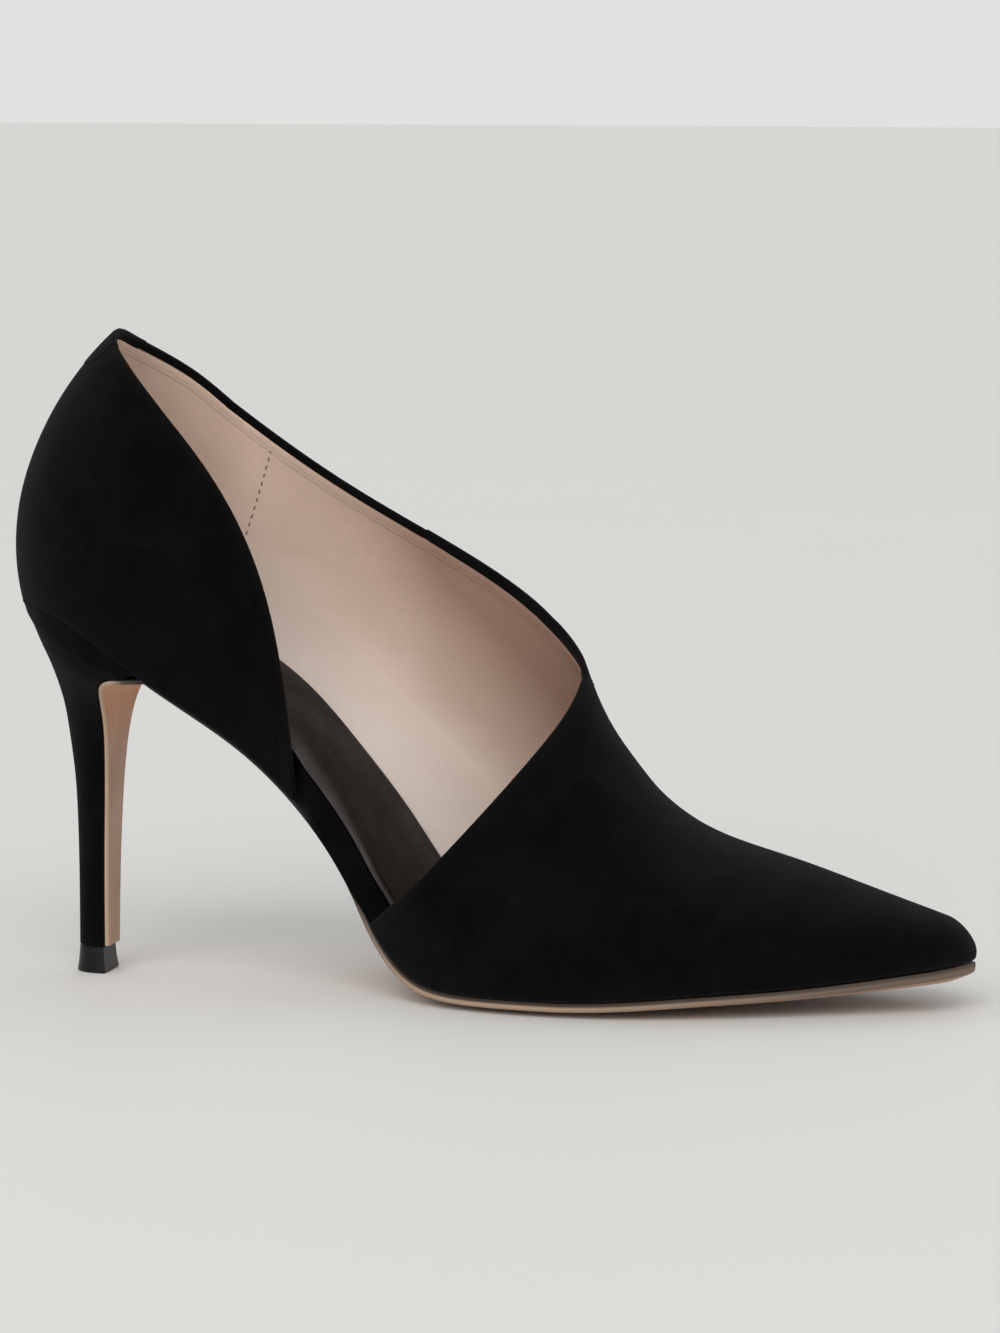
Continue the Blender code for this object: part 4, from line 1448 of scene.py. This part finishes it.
def black_suede():
    made, tree, shader, vector = blank("black_suede", 0.95, 0.03)
    nap = use(tree, "nap", vector)
    colour = mixed(tree, nap["Tone"], (0.0004, 0.0004, 0.0005), (0.0036, 0.0035, 0.0036))
    colour = stained(tree, colour, (0.0070, 0.0058, 0.0052), point_share(tree, "edge"), 0.3)
    shader.inputs["Sheen Weight"].default_value = 0.055
    shader.inputs["Sheen Roughness"].default_value = 0.55
    shader.inputs["Sheen Tint"].default_value = (0.62, 0.60, 0.60, 1.0)
    surface(tree, shader, colour, nap["Tone"], (0.98, 0.86), nap["Height"], (0.5, 0.00022))
    return made


def black_wrap():
    """Smooth black leather round the insole's edge."""
    made, tree, shader, vector = blank("insole_leather", 0.5, 0.03)
    grain = use(tree, "grain", vector, cell_scale=1700.0)
    dye = use(tree, "dye", vector)
    colour = mixed(tree, dye["Clouds"], (0.0010, 0.0009, 0.0009), (0.0024, 0.0021, 0.0020))
    surface(tree, shader, colour, dye["Patches"], (0.55, 0.68), grain["Height"], (0.25, 0.0001))
    return made


def lining_leather():
    """Beige leather, with a painted highlight low down, painted shade under the throat and painted shade
    deep in the heel.
    """
    made, tree, shader, vector = blank("lining_leather", 0.46, 0.45)
    dye = use(tree, "dye", vector, patch_scale=26.0, cloud_scale=90.0)
    grain = use(tree, "grain", vector, cell_scale=1900.0, wave_scale=75.0)
    colour = mixed(tree, dye["Patches"], (0.820, 0.615, 0.500), (0.890, 0.675, 0.565))
    colour = stained(tree, colour, (0.740, 0.560, 0.415), dye["Clouds"], 0.35)
    colour = stained(tree, colour, (0.520, 0.370, 0.290), grain["Creases"], 0.12)
    x, _, z = place_of(tree, vector)
    # Painted highlight: the colour turns paler low down, in a slanted band with streaky edges.
    slant = drawn_out(tree, vector, (0.0, math.radians(45), 0.0), (0.25, 1.0, 1.6))
    streak = ranged(tree, noise(tree, slant, 55.0, 3.0), 0.3, 0.7, -0.006, 0.006)
    rise = math_node(tree, "ADD", x, z)
    highlight_rise = math_node(tree, "ADD", rise, streak)
    colour = stained(tree, colour, (0.970, 0.860, 0.780), ranged(tree, highlight_rise, 0.104, 0.146, 0.9, 0.0))
    # Painted shade under the throat.
    shade = product(tree, ranged(tree, rise, 0.134, 0.174), ranged(tree, x, 0.034, 0.078))
    colour = stained(tree, colour, (0.310, 0.188, 0.135), math_node(tree, "POWER", shade, 0.8))
    # Painted shade deep in the heel, darker lower down at the back.
    deep = product(tree, ranged(tree, z, 0.152, 0.118), ranged(tree, x, 0.032, 0.008))
    colour = stained(tree, colour, (0.480, 0.340, 0.250), deep, 0.75)
    surface(tree, shader, colour, dye["Clouds"], (0.44, 0.58), grain["Height"], (0.35, 0.00022))
    return made


def sock_leather():
    """Dark brown leather, with a painted sheen on the roll of its inner edge."""
    made, tree, shader, vector = blank("sock_leather", 0.46, 0.10)
    shader.inputs["IOR"].default_value = 1.25
    dye = use(tree, "dye", vector, patch_scale=30.0)
    grain = use(tree, "grain", vector, cell_scale=1500.0, wave_scale=45.0)
    colour = mixed(tree, dye["Patches"], (0.0042, 0.0029, 0.0016), (0.0072, 0.0050, 0.0031))
    colour = stained(tree, colour, (0.0060, 0.0042, 0.0035), grain["Creases"], 0.5)
    # Painted sheen: a paler colour along the sock's rolled inner edge, broken up by the dye's clouds.
    painted_sheen = product(tree, point_share(tree, "edge"), ranged(tree, dye["Clouds"], 0.0, 1.0, 0.6, 1.0))
    colour = stained(tree, colour, (0.066, 0.060, 0.059), painted_sheen)
    surface(tree, shader, colour, dye["Clouds"], (0.36, 0.48), grain["Height"], (0.3, 0.0002))
    return made


def sole_leather():
    """Tan leather with a dark burnished edge, black along the waist."""
    made, tree, shader, vector = blank("sole_leather", 0.5, 0.4)
    dye = use(tree, "dye", vector, patch_scale=18.0, cloud_scale=120.0)
    scuff = use(tree, "scuff", vector)
    edge = point_share(tree, "edge")
    trimmed = ranged(tree, edge, 0.15, 0.45)
    x, _, z = place_of(tree, vector)
    toe = product(tree, trimmed, ranged(tree, x, 0.120, 0.185, 0.0, 0.8))
    colour = mixed(tree, dye["Patches"], (0.420, 0.255, 0.170), (0.480, 0.300, 0.205))
    colour = stained(tree, colour, (0.360, 0.225, 0.155), dye["Clouds"], 0.3)
    colour = stained(tree, colour, (0.250, 0.150, 0.100), scuff["Scratches"], 0.35)
    colour = stained(tree, colour, (0.620, 0.300, 0.120), ranged(tree, z, 0.052, 0.070))
    colour = stained(tree, colour, (0.440, 0.310, 0.220), trimmed)
    colour = stained(tree, colour, (0.045, 0.027, 0.018), ranged(tree, edge, 1.0, 1.5))
    colour = stained(tree, colour, (0.090, 0.066, 0.050), toe)
    waist = product(tree, point_share(tree, "waist"), trimmed)
    colour = stained(tree, colour, (0.004, 0.0035, 0.0033), waist)
    height = math_node(tree, "SUBTRACT", dye["Clouds"], scuff["Scratches"])
    surface(tree, shader, colour, dye["Clouds"], (0.42, 0.58), height, (0.15, 0.0002))
    return made


def tip_plastic():
    made, tree, shader, vector = blank("tip_plastic", 0.34, 0.2)
    scuff = use(tree, "scuff", vector, scratch_scale=700.0, speck_scale=2600.0)
    colour = mixed(tree, scuff["Scratches"], (0.0040, 0.0035, 0.0034), (0.010, 0.009, 0.008))
    surface(tree, shader, colour, scuff["Specks"], (0.32, 0.52), scuff["Specks"], (0.2, 0.00008))
    return made


def thread(name, dark, light):
    """Spun thread, with its twist across each stitch."""
    made, tree, shader, vector = blank(name, 0.8, 0.1)
    twist = noise(tree, vector, 6000.0)
    colour = mixed(tree, ranged(tree, twist, 0.3, 0.7), dark, light)
    surface(tree, shader, colour, height=twist, bump=(0.4, 0.00005))
    return made


def pale_floor():
    made, tree, shader, vector = blank("pale_floor", 0.6, 0.3)
    cloud = ranged(tree, noise(tree, vector, 4.0, 3.0, distortion=0.6), 0.35, 0.65)
    surface(tree, shader, mixed(tree, cloud, (0.758, 0.750, 0.730), (0.762, 0.754, 0.734)))
    return made


# Stage, camera and light

def make_stage():
    mesh = bpy.data.meshes.new("floor")
    half = 9.0
    corners = [(-half, -half, 0.0), (half, -half, 0.0), (half, half, 0.0), (-half, half, 0.0)]
    mesh.from_pydata(corners, [], [(0, 1, 2, 3)])
    mesh.materials.append(pale_floor())
    floor = place_object("floor", mesh)
    floor.location.z = -0.0001


def aimed(thing, place, target):
    """Puts a camera or a light at a place and turns it to a target."""
    thing.location = place
    thing.rotation_euler = (Vector(place) - Vector(target)).to_track_quat("Z", "Y").to_euler()
    return thing


def make_camera():
    """The photograph's view: 14 degrees round towards the toe and 7 degrees above the floor."""
    azimuth, elevation = math.radians(14), math.radians(7)
    distance = 1.25
    level = math.cos(elevation)
    back = Vector((math.sin(azimuth) * level, -math.cos(azimuth) * level, math.sin(elevation)))
    data = bpy.data.cameras.new("camera")
    data.lens = 145.3
    data.sensor_width = 36.0
    data.clip_start = 0.05
    data.clip_end = 60.0
    place = Vector((0.094, 0.0, 0.075)) + back * distance
    camera = aimed(place_object("camera", data), place, (0.0989, 0.0012, 0.0753))
    bpy.context.scene.camera = camera


def add_light(name, kind, place, energy):
    data = bpy.data.lights.new(name, kind)
    data.energy = energy
    aimed(place_object(name, data), place, (0.09, 0.0, 0.06))
    return data


def make_light():
    """A wide soft light from above and in front, a small fill, and a pale surround."""
    key = add_light("key", "SUN", (0.22, -1.05, 1.05), 1.30)
    key.angle = math.radians(50)
    fill = add_light("front_fill", "AREA", (-0.35, -1.5, 0.60), 4.0)
    fill.shape = "RECTANGLE"
    fill.size = 1.0
    fill.size_y = 0.8
    world = bpy.data.worlds.new("studio")
    world.use_nodes = True
    tree = world.node_tree
    rise = place_of(tree, wire(tree, "ShaderNodeTexCoord").outputs["Generated"])["Z"]
    middle = mixed(tree, ranged(tree, rise, 0.06, 0.32), (0.760, 0.755, 0.745), (0.40, 0.40, 0.40))
    sky = mixed(tree, ranged(tree, rise, 0.45, 0.80), middle, (0.76, 0.76, 0.76))
    tree.links.new(sky, tree.nodes["Background"].inputs["Color"])
    bpy.context.scene.world = world
    bpy.context.scene.view_settings.view_transform = "Standard"


make_camera()
make_light()
make_stage()

suede = black_suede()
lining_finish = lining_leather()
threads = {
    "black": thread("black_thread", (0.0003, 0.0003, 0.0003), (0.0014, 0.0014, 0.0014)),
    "beige": thread("beige_thread", (0.45, 0.33, 0.26), (0.66, 0.52, 0.43)),
    "brown": thread("brown_thread", (0.20, 0.135, 0.095), (0.34, 0.240, 0.175)),
}
make_quarters(suede)
make_vamp(suede)
make_lining_band(lining_finish, make_lining(lining_finish))
make_heel_tab(suede)
make_footbed(black_wrap(), sock_leather())
make_heel(suede, tip_plastic())
make_outsole(sole_leather())
make_stitching(threads)
make_back_seam(suede)
